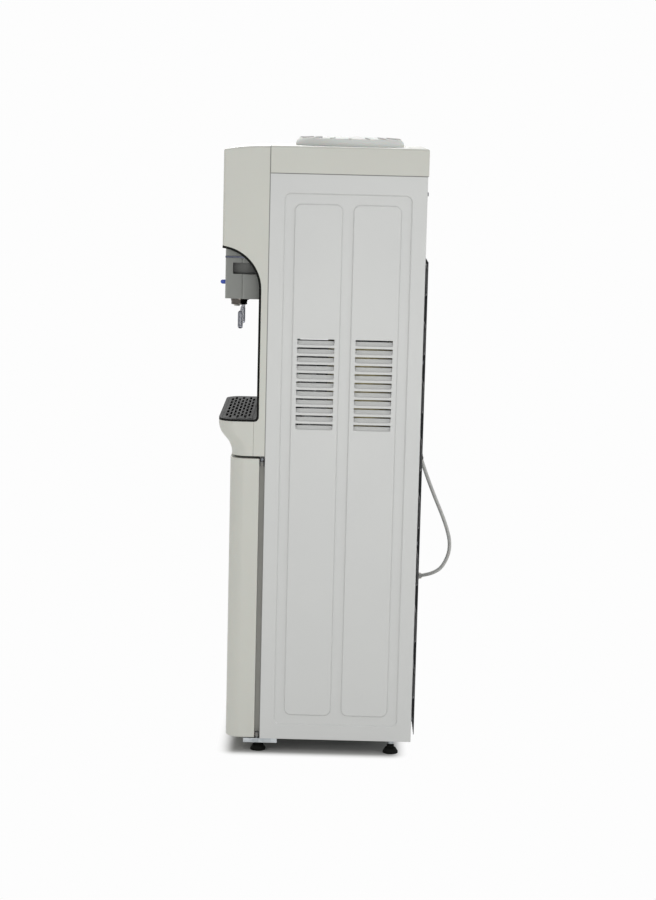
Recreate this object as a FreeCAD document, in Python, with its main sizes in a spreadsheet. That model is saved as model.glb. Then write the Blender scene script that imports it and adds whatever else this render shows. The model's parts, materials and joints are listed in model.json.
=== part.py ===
"""A free-standing bottom load water cooler, as a parametric document.

The front of the cooler faces -Y, its right-hand side (seen from the front) is +X and
the floor is the plane Z = 0.  The origin lies on the floor under the middle of the
cooler.  All lengths are millimetres.
"""
import FreeCAD, Part
import math
import os

import Sketcher
from FreeCAD import Rotation, Vector

# ---------------------------------------------------------------- driving dimensions
SIZES = [
    # cabinet
    ("cabinet_width", 310.0),
    ("cabinet_depth", 272.0),
    ("cabinet_front", -95.5),
    ("cabinet_base", 25.0),
    ("panel_height", 1008.0),
    ("sheet_wall", 1.0),
    ("return_width", 12.0),
    ("moulding_wall", 3.0),
    ("seat_gap", 0.3),
    # pressed side panels
    ("emboss_depth", 2.0),
    ("emboss_side", 25.0),
    ("emboss_low", 26.0),
    ("emboss_high", 33.0),
    ("emboss_band", 18.5),
    ("emboss_corner", 12.0),
    ("louvre_length", 65.0),
    ("louvre_rows", 11.0),
    ("louvre_pitch", 14.95),
    ("louvre_low", 598.0),
    ("louvre_window", 10.5),
    ("louvre_slit", 3.2),
    ("louvre_depth", 4.6),
    ("louvre_corner", 5.0),
    # base, shelves and bottle compartment
    ("base_sheet", 1.5),
    ("base_flange", 14.0),
    ("liner_wall", 2.0),
    ("liner_side_gap", 15.0),
    ("liner_back_gap", 22.5),
    ("shelf_over_door", 54.5),
    ("shelf_flange", 12.0),
    ("inner_side_gap", 0.5),
    # top cover and reservoir
    ("cover_height", 47.0),
    ("cover_overhang", 0.4),
    ("cover_tail", 1.5),
    ("cover_edge_round", 4.0),
    ("reservoir_shift", 0.5),
    ("cover_opening", 178.0),
    ("reservoir_inset", 4.0),
    ("reservoir_depth", 62.0),
    ("reservoir_wall", 2.5),
    ("cap_overlap", 7.75),
    ("cap_skirt", 4.0),
    ("cap_shoulder_rise", 13.5),
    ("cap_crown_rise", 17.0),
    ("cap_shoulder_inset", 7.0),
    ("cap_wall", 2.2),
    ("cap_ribs", 16.0),
    ("cap_rib_width", 2.6),
    ("cap_rib_height", 1.6),
    # upper front panel and dispensing alcove
    ("fascia_depth", 80.5),
    ("fascia_top_drop", 8.0),
    ("fascia_back_drop", 1.0),
    ("fascia_edge_round", 4.0),
    ("fascia_top_curve", 420.0),
    ("arch_radius", 76.0),
    ("arch_drop", 249.5),
    ("wing_width", 11.8),
    ("wing_foot_gap", 4.5),
    ("shelf_rise", 61.0),
    ("alcove_liner_wall", 4.0),
    ("alcove_corner", 8.7),
    ("lip_reach", 83.2),
    ("lip_corner", 30.0),
    # drip shelf, tray and grille
    ("shelf_drop", 24.1),
    ("shelf_lip", 2.0),
    ("shelf_corner", 28.0),
    ("tray_side_margin", 8.0),
    ("tray_front_margin", 6.0),
    ("tray_back_margin", 3.0),
    ("tray_depth", 22.0),
    ("tray_wall", 1.8),
    ("grille_thickness", 2.5),
    ("grille_slot_length", 30.0),
    ("grille_slot_width", 3.8),
    ("grille_columns", 7.0),
    ("grille_rows", 7.0),
    # tap housing and taps
    ("housing_hang", 23.5),
    ("housing_half_width", 70.0),
    ("housing_nose_half_width", 64.0),
    ("housing_nose_depth", 31.0),
    ("housing_front_setback", 1.0),
    ("housing_wall", 2.6),
    ("housing_corner", 2.9),
    ("window_rise", 44.0),
    ("window_height", 20.0),
    ("window_depth", 12.0),
    ("trim_height", 3.0),
    ("trim_rise", 72.5),
    ("trim_proud", 0.5),
    ("tap_spacing", 96.0),
    ("tap_setback", 54.8),
    ("collar_diameter", 31.0),
    ("collar_mouth", 29.0),
    ("collar_height", 11.0),
    ("collar_wall", 1.5),
    ("valve_diameter", 20.0),
    ("valve_height", 34.0),
    ("nozzle_diameter", 10.0),
    ("nozzle_bore", 6.0),
    ("nozzle_reach", 14.0),
    ("lever_pin_diameter", 2.5),
    ("lever_pin_drop", 4.0),
    ("lever_pin_setback", 7.0),
    ("lever_fit", 0.05),
    ("lever_eye", 7.0),
    ("lever_stem_width", 9.0),
    ("lever_thickness", 4.6),
    ("lever_drop", 19.0),
    ("paddle_length", 31.7),
    ("paddle_width", 20.0),
    ("paddle_depth", 8.8),
    ("paddle_round", 3.4),
    ("button_diameter", 8.0),
    ("button_rise", 28.5),
    ("button_reach", 9.3),
    ("button_travel", 3.0),
    ("button_fit", 0.1),
    # door and hinges
    ("door_gap", 9.5),
    ("door_thickness", 52.0),
    ("door_side_inset", 0.8),
    ("door_lift", 1.0),
    ("door_height", 507.5),
    ("door_corner", 25.0),
    ("door_wall", 3.0),
    ("door_dish_inset", 3.0),
    ("door_dish_depth", 36.0),
    ("gasket_overlap", 5.0),
    ("gasket_width", 7.5),
    ("hinge_inset", 4.8),
    ("hinge_pin_diameter", 5.0),
    ("hinge_fit", 0.08),
    ("hinge_eye", 8.2),
    ("hinge_eye_height", 8.0),
    ("hinge_hub", 6.0),
    ("hinge_pin_length", 14.0),
    ("bracket_thickness", 3.0),
    ("bracket_drop", 8.0),
    ("bracket_front", 29.0),
    ("bracket_back", 31.5),
    ("bracket_width", 36.0),
    # levelling feet
    ("foot_inset", 18.0),
    ("front_foot_setback", -2.5),
    ("rear_foot_inset", 35.5),
    ("foot_diameter", 27.5),
    ("foot_height", 9.0),
    ("foot_nut_height", 5.0),
    ("foot_nut_radius", 7.5),
    ("stud_diameter", 8.0),
    ("stud_fit", 0.2),
    # rear panel and what it carries
    ("rear_panel_inset", 1.2),
    ("grip_half_width", 56.0),
    ("grip_drop", 24.0),
    ("grip_height", 52.0),
    ("grip_lip_height", 26.0),
    ("grip_lip_rise", 3.8),
    ("grip_depth", 26.0),
    ("grip_wall", 2.0),
    ("switch_drop", 108.0),
    ("switch_spacing", 34.0),
    ("condenser_half_width", 104.0),
    ("condenser_low", 35.0),
    ("condenser_headroom", 38.0),
    ("condenser_runs", 17.0),
    ("condenser_tube_diameter", 4.8),
    ("condenser_stand_off", 4.8),
    ("wire_diameter", 1.5),
    ("wire_pitch", 16.0),
    ("wire_count", 13.0),
    ("wire_tail", 13.0),
    ("wire_head", 7.0),
    # cooling and heating parts behind the alcove
    ("compressor_side_gap", 5.5),
    ("compressor_shift", 31.5),
    ("compressor_share", 0.4092),
    ("compressor_fill", 0.723),
    ("grommet_height", 10.0),
    ("hot_tank_side_gap", 10.5),
    ("hot_tank_shift", 29.5),
    ("hot_tank_share", 0.33),
    ("hot_tank_fill", 0.6865),
    ("hot_jacket_wall", 9.0),
    ("cold_tank_radius", 74.0),
    ("cold_tank_headroom", 23.5),
    ("cold_foam_wall", 19.0),
    ("hose_diameter", 9.0),
    ("probe_inset", 28.0),
    ("tank_dome", 0.34),
    ("pump_radius", 18.0),
    # mains lead
    ("cord_diameter", 7.0),
    ("gland_inset", 29.0),
    ("gland_height", 516.0),
    ("gland_flange_radius", 9.0),
    ("coil_outer_radius", 48.0),
    ("coil_pitch", 7.6),
    ("coil_gap", 57.0),
    ("coil_y", 60.0),
    ("coil_tail", 45.0),
]

doc = FreeCAD.newDocument("water_cooler")
sheet = doc.addObject("Spreadsheet::Sheet", "sizes")
for row, (alias, number) in enumerate(SIZES, start=1):
    sheet.set("A%d" % row, alias)
    sheet.set("B%d" % row, str(number))
    sheet.setAlias("B%d" % row, alias)
doc.recompute()


# ---------------------------------------------------------------- sizes with names
class Size:
    """A number that keeps the sheet expression it was worked out from."""

    def __init__(self, value, text):
        self.value = float(value)
        self.text = text

    def __add__(self, other):
        other = as_size(other)
        return Size(self.value + other.value, "(%s + %s)" % (self.text, other.text))

    def __radd__(self, other):
        return as_size(other) + self

    def __sub__(self, other):
        other = as_size(other)
        return Size(self.value - other.value, "(%s - %s)" % (self.text, other.text))

    def __rsub__(self, other):
        return as_size(other) - self

    def __mul__(self, other):
        other = as_size(other)
        return Size(self.value * other.value, "(%s * %s)" % (self.text, other.text))

    def __rmul__(self, other):
        return as_size(other) * self

    def __truediv__(self, other):
        other = as_size(other)
        return Size(self.value / other.value, "(%s / %s)" % (self.text, other.text))

    def __neg__(self):
        return Size(-self.value, "(0 - %s)" % self.text)


def as_size(value):
    """A plain number as a Size of its own."""
    if isinstance(value, Size):
        return value
    return Size(value, "(%r)" % float(value))


def root(size):
    """Square root of a Size."""
    return Size(math.sqrt(size.value), "sqrt(%s)" % size.text)


def dome_radius(half, rise):
    """Radius of the arc that is level on the axis and drops by rise at half."""
    return (half * half + rise * rise) / (rise * 2)


class Sizes:
    """Every alias of the sheet as an attribute."""

    def __init__(self, rows):
        for alias, number in rows:
            setattr(self, alias, Size(number, "sizes." + alias))


S = Sizes(SIZES)
PARTS = {}


# ---------------------------------------------------------------- modelling helpers
def keep(label, obj):
    """Register a finished sub-part under its own label."""
    obj.Label = label
    PARTS[label] = obj
    return obj


def new_body(label):
    body = doc.addObject("PartDesign::Body", label)
    return keep(label, body)


def origin_plane(body, role):
    for feature in body.Origin.OriginFeatures:
        if feature.Role == role:
            return feature
    raise ValueError(role)


def new_sketch(body, plane, height):
    """An empty sketch on XY, XZ or YZ, moved to the world height along its normal."""
    sketch = body.newObject("Sketcher::SketchObject", body.Name + "_sketch")
    sketch.AttachmentSupport = [(origin_plane(body, plane + "_Plane"), "")]
    sketch.MapMode = "FlatFace"
    offset = -as_size(height) if plane == "XZ" else as_size(height)
    sketch.setExpression("AttachmentOffset.Base.z", offset.text)
    return sketch


def arc_geometry(start, end, radius):
    """The minor arc from start to end; a positive radius turns left."""
    chord = end - start
    left = Vector(-chord.y, chord.x, 0).normalize()
    rise = math.sqrt(max(radius * radius - chord.Length ** 2 / 4, 0))
    centre = (start + end) / 2 + left * (rise if radius > 0 else -rise)
    first = math.atan2(start.y - centre.y, start.x - centre.x)
    last = math.atan2(end.y - centre.y, end.x - centre.x)
    if radius < 0:
        first, last = last, first
    if last < first:
        last += 2 * math.pi
    circle = Part.Circle(centre, Vector(0, 0, 1), abs(radius))
    return Part.ArcOfCircle(circle, first, last)


def add_outline(sketch, points):
    """A closed outline.  A point is (x, y) or (x, y, radius of the arc to the next)."""
    base = sketch.GeometryCount
    geometry = []
    ends = []
    for index, point in enumerate(points):
        after = points[(index + 1) % len(points)]
        start = Vector(as_size(point[0]).value, as_size(point[1]).value, 0)
        end = Vector(as_size(after[0]).value, as_size(after[1]).value, 0)
        if len(point) < 3:
            geometry.append(Part.LineSegment(start, end))
            ends.append((1, 2))
        else:
            radius = as_size(point[2]).value
            geometry.append(arc_geometry(start, end, radius))
            ends.append((1, 2) if radius > 0 else (2, 1))
    sketch.addGeometry(geometry, False)
    constraints = []
    bound = []
    first = sketch.ConstraintCount
    for index, point in enumerate(points):
        before = (index - 1) % len(points)
        here = base + index
        constraints.append(Sketcher.Constraint(
            "Coincident", base + before, ends[before][1], here, ends[index][0]))
        for kind, value in (("DistanceX", point[0]), ("DistanceY", point[1])):
            value = as_size(value)
            bound.append((first + len(constraints), value.text))
            constraints.append(Sketcher.Constraint(
                kind, -1, 1, here, ends[index][0], value.value))
        if len(point) == 3:
            radius = as_size(point[2])
            size = radius if radius.value > 0 else -radius
            bound.append((first + len(constraints), size.text))
            constraints.append(Sketcher.Constraint("Radius", here, size.value))
    sketch.addConstraint(constraints)
    for number, text in bound:
        sketch.setExpression("Constraints[%d]" % number, text)


def add_circle(sketch, x, y, radius):
    x, y, radius = as_size(x), as_size(y), as_size(radius)
    circle = Part.Circle(Vector(x.value, y.value, 0), Vector(0, 0, 1), radius.value)
    here = sketch.addGeometry(circle, False)
    first = sketch.ConstraintCount
    sketch.addConstraint([
        Sketcher.Constraint("DistanceX", -1, 1, here, 3, x.value),
        Sketcher.Constraint("DistanceY", -1, 1, here, 3, y.value),
        Sketcher.Constraint("Radius", here, radius.value),
    ])
    for number, size in enumerate((x, y, radius)):
        sketch.setExpression("Constraints[%d]" % (first + number), size.text)


def rectangle(x0, x1, y0, y1):
    return [(x0, y0), (x1, y0), (x1, y1), (x0, y1)]


def rounded(x0, x1, y0, y1, radius):
    """A rectangle with four round corners."""
    return [
        (x0 + radius, y0), (x1 - radius, y0, radius),
        (x1, y0 + radius), (x1, y1 - radius, radius),
        (x1 - radius, y1), (x0 + radius, y1, radius),
        (x0, y1 - radius), (x0, y0 + radius, radius),
    ]


def front_rounded(half, front, back, radius):
    """A plan outline whose two front corners, towards -Y, are round."""
    return [
        (radius - half, front), (half - radius, front, radius),
        (half, front + radius), (half, back),
        (-half, back), (-half, front + radius, radius),
    ]


def draw(body, plane, height, *outlines):
    sketch = new_sketch(body, plane, height)
    for points in outlines:
        add_outline(sketch, points)
    return sketch


def pad(body, sketch, length):
    """Material along the sketch's normal; a negative length goes the other way."""
    length = as_size(length)
    feature = body.newObject("PartDesign::Pad", body.Name + "_pad")
    feature.Profile = sketch
    feature.Reversed = length.value < 0
    feature.setExpression("Length", (length if length.value > 0 else -length).text)
    return feature


def pocket(body, sketch, length):
    """A cut along the sketch's normal; a negative length goes the other way."""
    length = as_size(length)
    feature = body.newObject("PartDesign::Pocket", body.Name + "_pocket")
    feature.Profile = sketch
    feature.Reversed = length.value > 0
    feature.setExpression("Length", (length if length.value > 0 else -length).text)
    return feature


def loft(body, sketches, ruled=True, cut=False):
    kind = "PartDesign::SubtractiveLoft" if cut else "PartDesign::AdditiveLoft"
    feature = body.newObject(kind, body.Name + "_loft")
    feature.Profile = sketches[0]
    feature.Sections = sketches[1:]
    feature.Ruled = ruled
    return feature


def revolve(body, sketch, cut=False, axis="V_Axis"):
    """A full turn about the sketch's own vertical axis."""
    kind = "PartDesign::Groove" if cut else "PartDesign::Revolution"
    feature = body.newObject(kind, body.Name + "_turn")
    feature.Profile = sketch
    feature.ReferenceAxis = (sketch, [axis])
    feature.Angle = 360.0
    return feature


def round_edges(body, radius, chosen):
    """A fillet on the edges of the body's last feature that chosen() accepts."""
    doc.recompute()
    tip = body.Tip
    names = []
    for number, edge in enumerate(tip.Shape.Edges, start=1):
        if chosen(edge):
            names.append("Edge%d" % number)
    feature = body.newObject("PartDesign::Fillet", body.Name + "_round")
    feature.Base = (tip, names)
    feature.setExpression("Radius", as_size(radius).text)
    return feature


def near(value, target, slack=0.05):
    return abs(value - as_size(target).value) < slack


def is_vertical(edge):
    box = edge.BoundBox
    return box.XLength < 0.01 and box.YLength < 0.01 and box.ZLength > 1


def bind(obj, **links):
    for name, size in links.items():
        obj.setExpression(name.replace("__", "."), as_size(size).text)
    return obj


def box(x0, x1, y0, y1, z0, z1):
    """A Part box between six planes."""
    obj = doc.addObject("Part::Box", "block")
    bind(obj, Length=as_size(x1) - x0, Width=as_size(y1) - y0, Height=as_size(z1) - z0,
         Placement__Base__x=x0, Placement__Base__y=y0, Placement__Base__z=z0)
    return obj


AXIS_TURN = {
    "X": Rotation(Vector(0, 1, 0), 90),
    "Y": Rotation(Vector(1, 0, 0), -90),
    "Z": Rotation(),
}


def place(obj, x, y, z, axis):
    """Stand an upright primitive at a point, with its height along an axis."""
    obj.Placement = FreeCAD.Placement(Vector(), AXIS_TURN[axis])
    return bind(obj, Placement__Base__x=x, Placement__Base__y=y, Placement__Base__z=z)


def cylinder(radius, length, x, y, z, axis="Z"):
    obj = doc.addObject("Part::Cylinder", "rod")
    bind(obj, Radius=radius, Height=length)
    return place(obj, x, y, z, axis)


def hexagon(radius, length, x, y, z, axis="Z"):
    obj = doc.addObject("Part::Prism", "hexagon")
    obj.Polygon = 6
    bind(obj, Circumradius=radius, Height=length)
    return place(obj, x, y, z, axis)


def cone(radius_low, radius_high, length, x, y, z, axis="Z"):
    obj = doc.addObject("Part::Cone", "taper")
    bind(obj, Radius1=radius_low, Radius2=radius_high, Height=length)
    return place(obj, x, y, z, axis)


def fuse(*objects):
    obj = doc.addObject("Part::MultiFuse", "joined")
    obj.Shapes = list(objects)
    obj.Refine = True
    return obj


def group(*objects):
    """Separate identical pieces in one node."""
    obj = doc.addObject("Part::Compound", "group")
    obj.Links = list(objects)
    return obj


def cut(base, *tools):
    obj = doc.addObject("Part::Cut", "trimmed")
    obj.Base = base
    obj.Tool = tools[0] if len(tools) == 1 else fuse(*tools)
    return obj


def mirrored(source):
    """The same piece on the other side of the cooler."""
    obj = doc.addObject("Part::Mirroring", "mirrored")
    obj.Source = source
    obj.Normal = Vector(1, 0, 0)
    return obj


# ---------------------------------------------------------------- levels shared by pieces
HALF = S.cabinet_width / 2
FRONT = S.cabinet_front
BACK = FRONT + S.cabinet_depth
MIDDLE_Y = (FRONT + BACK) / 2
BASE = S.cabinet_base
SEAM = BASE + S.panel_height
TOP = SEAM + S.cover_height
INSIDE = HALF - S.sheet_wall - S.emboss_depth - S.inner_side_gap
REAR_OUT = BACK - S.rear_panel_inset
REAR_IN = REAR_OUT - S.sheet_wall
LINER_HALF = HALF - S.liner_side_gap
LINER_BACK = BACK - S.liner_back_gap
LINER_LOW = BASE + 9
DOOR_LOW = BASE + S.door_lift
DOOR_TOP = DOOR_LOW + S.door_height
DOOR_BACK = FRONT - S.door_gap
DOOR_FRONT = DOOR_BACK - S.door_thickness
DOOR_HALF = HALF - S.door_side_inset
DISH_LOW = DOOR_LOW + 9
DISH_TOP = DOOR_TOP - 7
HINGE_X = HALF - S.hinge_inset
HINGE_Y = FRONT - S.hinge_inset
HINGE_TOP = DOOR_TOP + 1
FOOT_X = HALF - S.foot_inset
STUD_TOP = BASE + 1.8
FASCIA = FRONT - S.fascia_depth
ARCH_Y = FRONT - S.wing_width - S.arch_radius
ARCH_Z = TOP - S.arch_drop
ARCH_IN = S.arch_radius - S.alcove_liner_wall
WING = FRONT - S.wing_width
WING_FOOT = WING - S.alcove_corner
WING_LOW = DOOR_TOP + S.wing_foot_gap
LIP = FRONT - S.lip_reach
ALCOVE_BACK = WING - S.alcove_liner_wall
ALCOVE_FLOOR = WING_LOW + S.shelf_rise
TRAY_HALF = HALF - S.tray_side_margin
TRAY_FRONT = LIP + S.tray_front_margin
TRAY_BACK = WING_FOOT - S.tray_back_margin
TRAY_NOSE = S.lip_corner - S.tray_front_margin
TRAY_TAIL = as_size(6)
HOUSING_LOW = ARCH_Z - S.housing_hang
HOUSING_FRONT = FASCIA + S.housing_front_setback
WINDOW_LOW = HOUSING_LOW + S.window_rise
WINDOW_HIGH = WINDOW_LOW + S.window_height
WINDOW_SETBACK = as_size(13.5)
TRIM_LOW = HOUSING_LOW + S.trim_rise
BUTTON_Z = HOUSING_LOW + S.button_rise
HOSE_LEVEL = HOUSING_LOW + 22
TAP_Y = FRONT - S.tap_setback
TAP_X = S.tap_spacing / 2
NOZZLE_SETBACK = as_size(4)
LEVER_Y = TAP_Y + S.lever_pin_setback
LEVER_Z = HOUSING_LOW - S.lever_pin_drop
SHELF = DOOR_TOP + S.shelf_over_door
SHELF_TOP = SHELF + S.base_sheet
LINER_MOUTH_TOP = DOOR_TOP - 8.5
TANK_SHELF = HOUSING_LOW + 1
TANK_SHELF_TOP = TANK_SHELF + S.base_sheet
SERVICE_RISE = TANK_SHELF - SHELF_TOP
RESERVOIR_Y = MIDDLE_Y + S.reservoir_shift
RESERVOIR_NECK = TOP - S.reservoir_depth - 6
COMPRESSOR_RADIUS = INSIDE * S.compressor_share
COMPRESSOR_FOOT = COMPRESSOR_RADIUS + 14
COMPRESSOR_HEIGHT = SERVICE_RISE * S.compressor_fill
COMPRESSOR_X = COMPRESSOR_FOOT + S.compressor_side_gap - INSIDE
COMPRESSOR_Y = MIDDLE_Y + S.compressor_shift
HOT_RADIUS = INSIDE * S.hot_tank_share
HOT_HEIGHT = SERVICE_RISE * S.hot_tank_fill
HOT_X = INSIDE - HOT_RADIUS - S.hot_jacket_wall - S.hot_tank_side_gap
HOT_Y = MIDDLE_Y + S.hot_tank_shift
HOT_LOW = SHELF_TOP + 14
COLD_LOW = TANK_SHELF_TOP + S.cold_foam_wall
COLD_HEIGHT = RESERVOIR_NECK - S.cold_tank_headroom - COLD_LOW
COLD_OUTER = S.cold_tank_radius + S.cold_foam_wall
PIPE_Y = (LINER_BACK + REAR_IN) / 2
PIPE_HOLE = S.condenser_tube_diameter / 2 + 1
PORT_X = -(S.wire_pitch * 4.5)
PORT_FIT = as_size(0.6)
SUCTION_X = -(INSIDE - 9)
SUCTION_Y = PIPE_Y - 14
DRIER_X = COMPRESSOR_X + COMPRESSOR_RADIUS + 2
PROBE_X = LINER_HALF - S.probe_inset
PROBE_Y = LINER_BACK - 9
PROBE_LOW = BASE + 30
PUMP_X = HOT_X + 20
PUMP_Y = FRONT + 42
PUMP_PORT = 10
PUMP_STUB = 12
PUMP_TOP = SHELF_TOP + S.pump_radius * 2 + 8
GRIP_HIGH = SEAM - S.grip_drop
GRIP_LOW = GRIP_HIGH - S.grip_height
GRIP_LIP_LOW = GRIP_HIGH - S.grip_lip_height
GRIP_MOUTH = S.grip_half_width - 7
GRIP_CUP_LOW = GRIP_LOW + 6
GRIP_CUP_HIGH = GRIP_HIGH - 6
SWITCH_Z = SEAM - S.switch_drop
SWITCH_HALF = S.switch_spacing / 2 + 10
SWITCH_LOW = SWITCH_Z - 12
SWITCH_HIGH = SWITCH_Z + 12
SWITCH_DEPTH = as_size(17)
ROCKER_HALF = as_size(6.4)
ROCKER_RADIUS = as_size(9.3)
ROCKER_FACE = as_size(5.6)
ROCKER_Y = BACK - 6.2
VENT_HALF = as_size(70)
VENT_RISE = as_size(24)
VENT_WIDTH = as_size(5)
VENT_PITCH = as_size(14)
VENT_ROWS = 10
SCREW_HEAD = as_size(3.8)
SCREW_SHANK = as_size(1.6)
CONDENSER_Y = REAR_OUT + S.condenser_stand_off + 0.3
CONDENSER_TOP = SWITCH_LOW - S.condenser_headroom
CONDENSER_PITCH = (CONDENSER_TOP - S.condenser_low) / (S.condenser_runs - 1)
WIRE_LOW = S.condenser_low - S.wire_tail
WIRE_HIGH = CONDENSER_TOP + S.wire_head
GLAND_X = S.gland_inset - HALF
GLAND_HOLE = as_size(6.2)
COIL_X = -(HALF + S.coil_gap)
SEAM_ROUND = as_size(0.8)


# ---------------------------------------------------------------- cabinet sheet metal
def right_side_panel():
    """A folded sheet with a pressed recess, two raised fields and 22 inward louvres."""
    body = new_body("right_side_panel")
    skin = HALF - S.sheet_wall
    folded = HALF - S.return_width
    pad(body, draw(body, "YZ", folded, rectangle(FRONT, BACK, BASE, SEAM)), S.return_width)
    inner = rectangle(FRONT + S.sheet_wall, BACK - S.sheet_wall,
                      BASE + S.sheet_wall, SEAM - S.sheet_wall)
    pocket(body, draw(body, "YZ", folded, inner), S.return_width - S.sheet_wall)

    depth = S.emboss_depth
    corner = S.emboss_corner
    y0, y1 = FRONT + S.emboss_side, BACK - S.emboss_side
    z0, z1 = BASE + S.emboss_low, SEAM - S.emboss_high

    def field(y_low, y_high, z_low, z_high, grow, radius):
        return rounded(y_low - grow, y_high + grow, z_low - grow, z_high + grow, radius + grow)

    recess = (y0, y1, z0, z1)
    half_wall = S.sheet_wall / 2
    loft(body, [
        draw(body, "YZ", skin - depth, field(*recess, half_wall - depth, corner)),
        draw(body, "YZ", skin, field(*recess, half_wall, corner)),
    ])
    loft(body, [
        draw(body, "YZ", HALF, field(*recess, as_size(0), corner)),
        draw(body, "YZ", HALF - depth, field(*recess, -depth, corner)),
    ], cut=True)

    span = (y1 - y0 - 3 * S.emboss_band) / 2
    band = S.emboss_band
    first = (y0 + band, y0 + band + span, z0 + band, z1 - band)
    second = (y1 - band - span, y1 - band, z0 + band, z1 - band)
    for raised in (first, second):
        loft(body, [
            draw(body, "YZ", HALF - depth - half_wall, field(*raised, half_wall, corner)),
            draw(body, "YZ", HALF, field(*raised, half_wall - depth, corner)),
        ])
        loft(body, [
            draw(body, "YZ", skin - depth, field(*raised, as_size(0), corner)),
            draw(body, "YZ", skin, field(*raised, -depth, corner)),
        ], cut=True)

    # one louvre: a window, a scoop pressed inwards below its slit, and the scoop's hollow
    middle = first[0] + span / 2
    low = S.louvre_low - S.louvre_window
    left = middle - S.louvre_length / 2
    right = middle + S.louvre_length / 2
    mouth = S.louvre_window - S.louvre_slit
    window = pocket(body, draw(body, "YZ", HALF, [
        (left + S.louvre_corner, low), (right - S.louvre_corner, low, S.louvre_corner),
        (right, low + S.louvre_corner), (right, S.louvre_low),
        (left, S.louvre_low), (left, low + S.louvre_corner, S.louvre_corner),
    ]), -S.sheet_wall)
    reach = S.louvre_depth
    bulge = (mouth * mouth + reach * reach) / (2 * reach)
    wall = S.sheet_wall
    scoop = pad(body, draw(body, "XZ", left - wall / 2, [
        (skin, low - wall / 2), (HALF - wall / 2, low - wall / 2),
        (HALF - wall / 2, low + mouth), (skin - reach, low + mouth, bulge + wall),
    ]), -(S.louvre_length + wall))
    hollow = pocket(body, draw(body, "XZ", left + wall / 2, [
        (skin + wall / 4, low + wall / 2), (HALF, low + wall / 2),
        (HALF, S.louvre_low), (skin, S.louvre_low),
        (skin, low + mouth), (skin - reach + wall, low + mouth, bulge),
    ]), -(S.louvre_length - wall))
    rows = body.newObject("PartDesign::LinearPattern", "louvre_pattern")
    rows.Originals = [window, scoop, hollow]
    rows.Direction = (origin_plane(body, "Z_Axis"), [""])
    rows.Mode = "Spacing"
    bind(rows, Offset=S.louvre_pitch, Occurrences=S.louvre_rows)
    rows.Direction2 = (origin_plane(body, "Y_Axis"), [""])
    rows.Mode2 = "Spacing"
    bind(rows, Offset2=span + band)
    rows.Occurrences2 = 2
    rows.Spacings2 = [-1.0]
    body.Tip = rows
    return body


def base_plate():
    """A steel floor with upturned side flanges and two welded nuts for the rear feet."""
    wide = HALF - S.sheet_wall - S.inner_side_gap
    low = BASE + S.sheet_wall
    floor = box(-wide, wide, FRONT + S.sheet_wall, REAR_IN, low, low + S.base_sheet)
    flanges = []
    for x in (-wide, wide - S.base_sheet):
        flanges.append(box(x, x + S.base_sheet, FRONT + S.sheet_wall, REAR_IN,
                           low, low + S.base_flange))
    foot_y = BACK - S.rear_foot_inset
    nut_radius = S.foot_inset - S.return_width - S.seat_gap
    nuts = []
    holes = []
    for x in (-FOOT_X, FOOT_X):
        nuts.append(cylinder(nut_radius, S.bracket_drop + S.sheet_wall,
                             x, foot_y, BASE - S.bracket_drop))
        holes.append(cylinder(S.stud_diameter / 2 + S.stud_fit, 60, x, foot_y, 0))
        front_y = FRONT + S.front_foot_setback
        holes.append(cylinder(S.stud_diameter / 2 + S.stud_fit * 4, 60, x, front_y, 0))
    return keep("base_plate", cut(fuse(floor, *flanges, *nuts), *holes))


def rear_panel():
    """The flat rear sheet between the side panels' returns, with all its openings."""
    body = new_body("rear_panel")
    wide = HALF - S.sheet_wall - S.seat_gap
    outline = rectangle(-wide, wide, BASE + S.sheet_wall, SEAM - S.sheet_wall)
    pad(body, draw(body, "XZ", REAR_OUT, outline), S.sheet_wall)
    openings = draw(
        body, "XZ", REAR_OUT,
        rectangle(-GRIP_MOUTH, GRIP_MOUTH, GRIP_CUP_LOW, GRIP_CUP_HIGH),
        rectangle(-SWITCH_HALF, SWITCH_HALF, SWITCH_LOW, SWITCH_HIGH))
    add_circle(openings, GLAND_X, S.gland_height, GLAND_HOLE)
    for x, z in condenser_ports():
        add_circle(openings, x, z, S.condenser_tube_diameter / 2 + PORT_FIT)
    pocket(body, openings, S.sheet_wall)
    slot = pocket(body, draw(body, "XZ", REAR_OUT, rectangle(
        -VENT_HALF, VENT_HALF, SHELF + VENT_RISE,
        SHELF + VENT_RISE + VENT_WIDTH)), S.sheet_wall)
    vents = body.newObject("PartDesign::LinearPattern", "vent_pattern")
    vents.Originals = [slot]
    vents.Direction = (origin_plane(body, "Z_Axis"), [""])
    vents.Mode = "Spacing"
    bind(vents, Offset=VENT_PITCH)
    vents.Occurrences = VENT_ROWS
    body.Tip = vents
    return body


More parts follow.
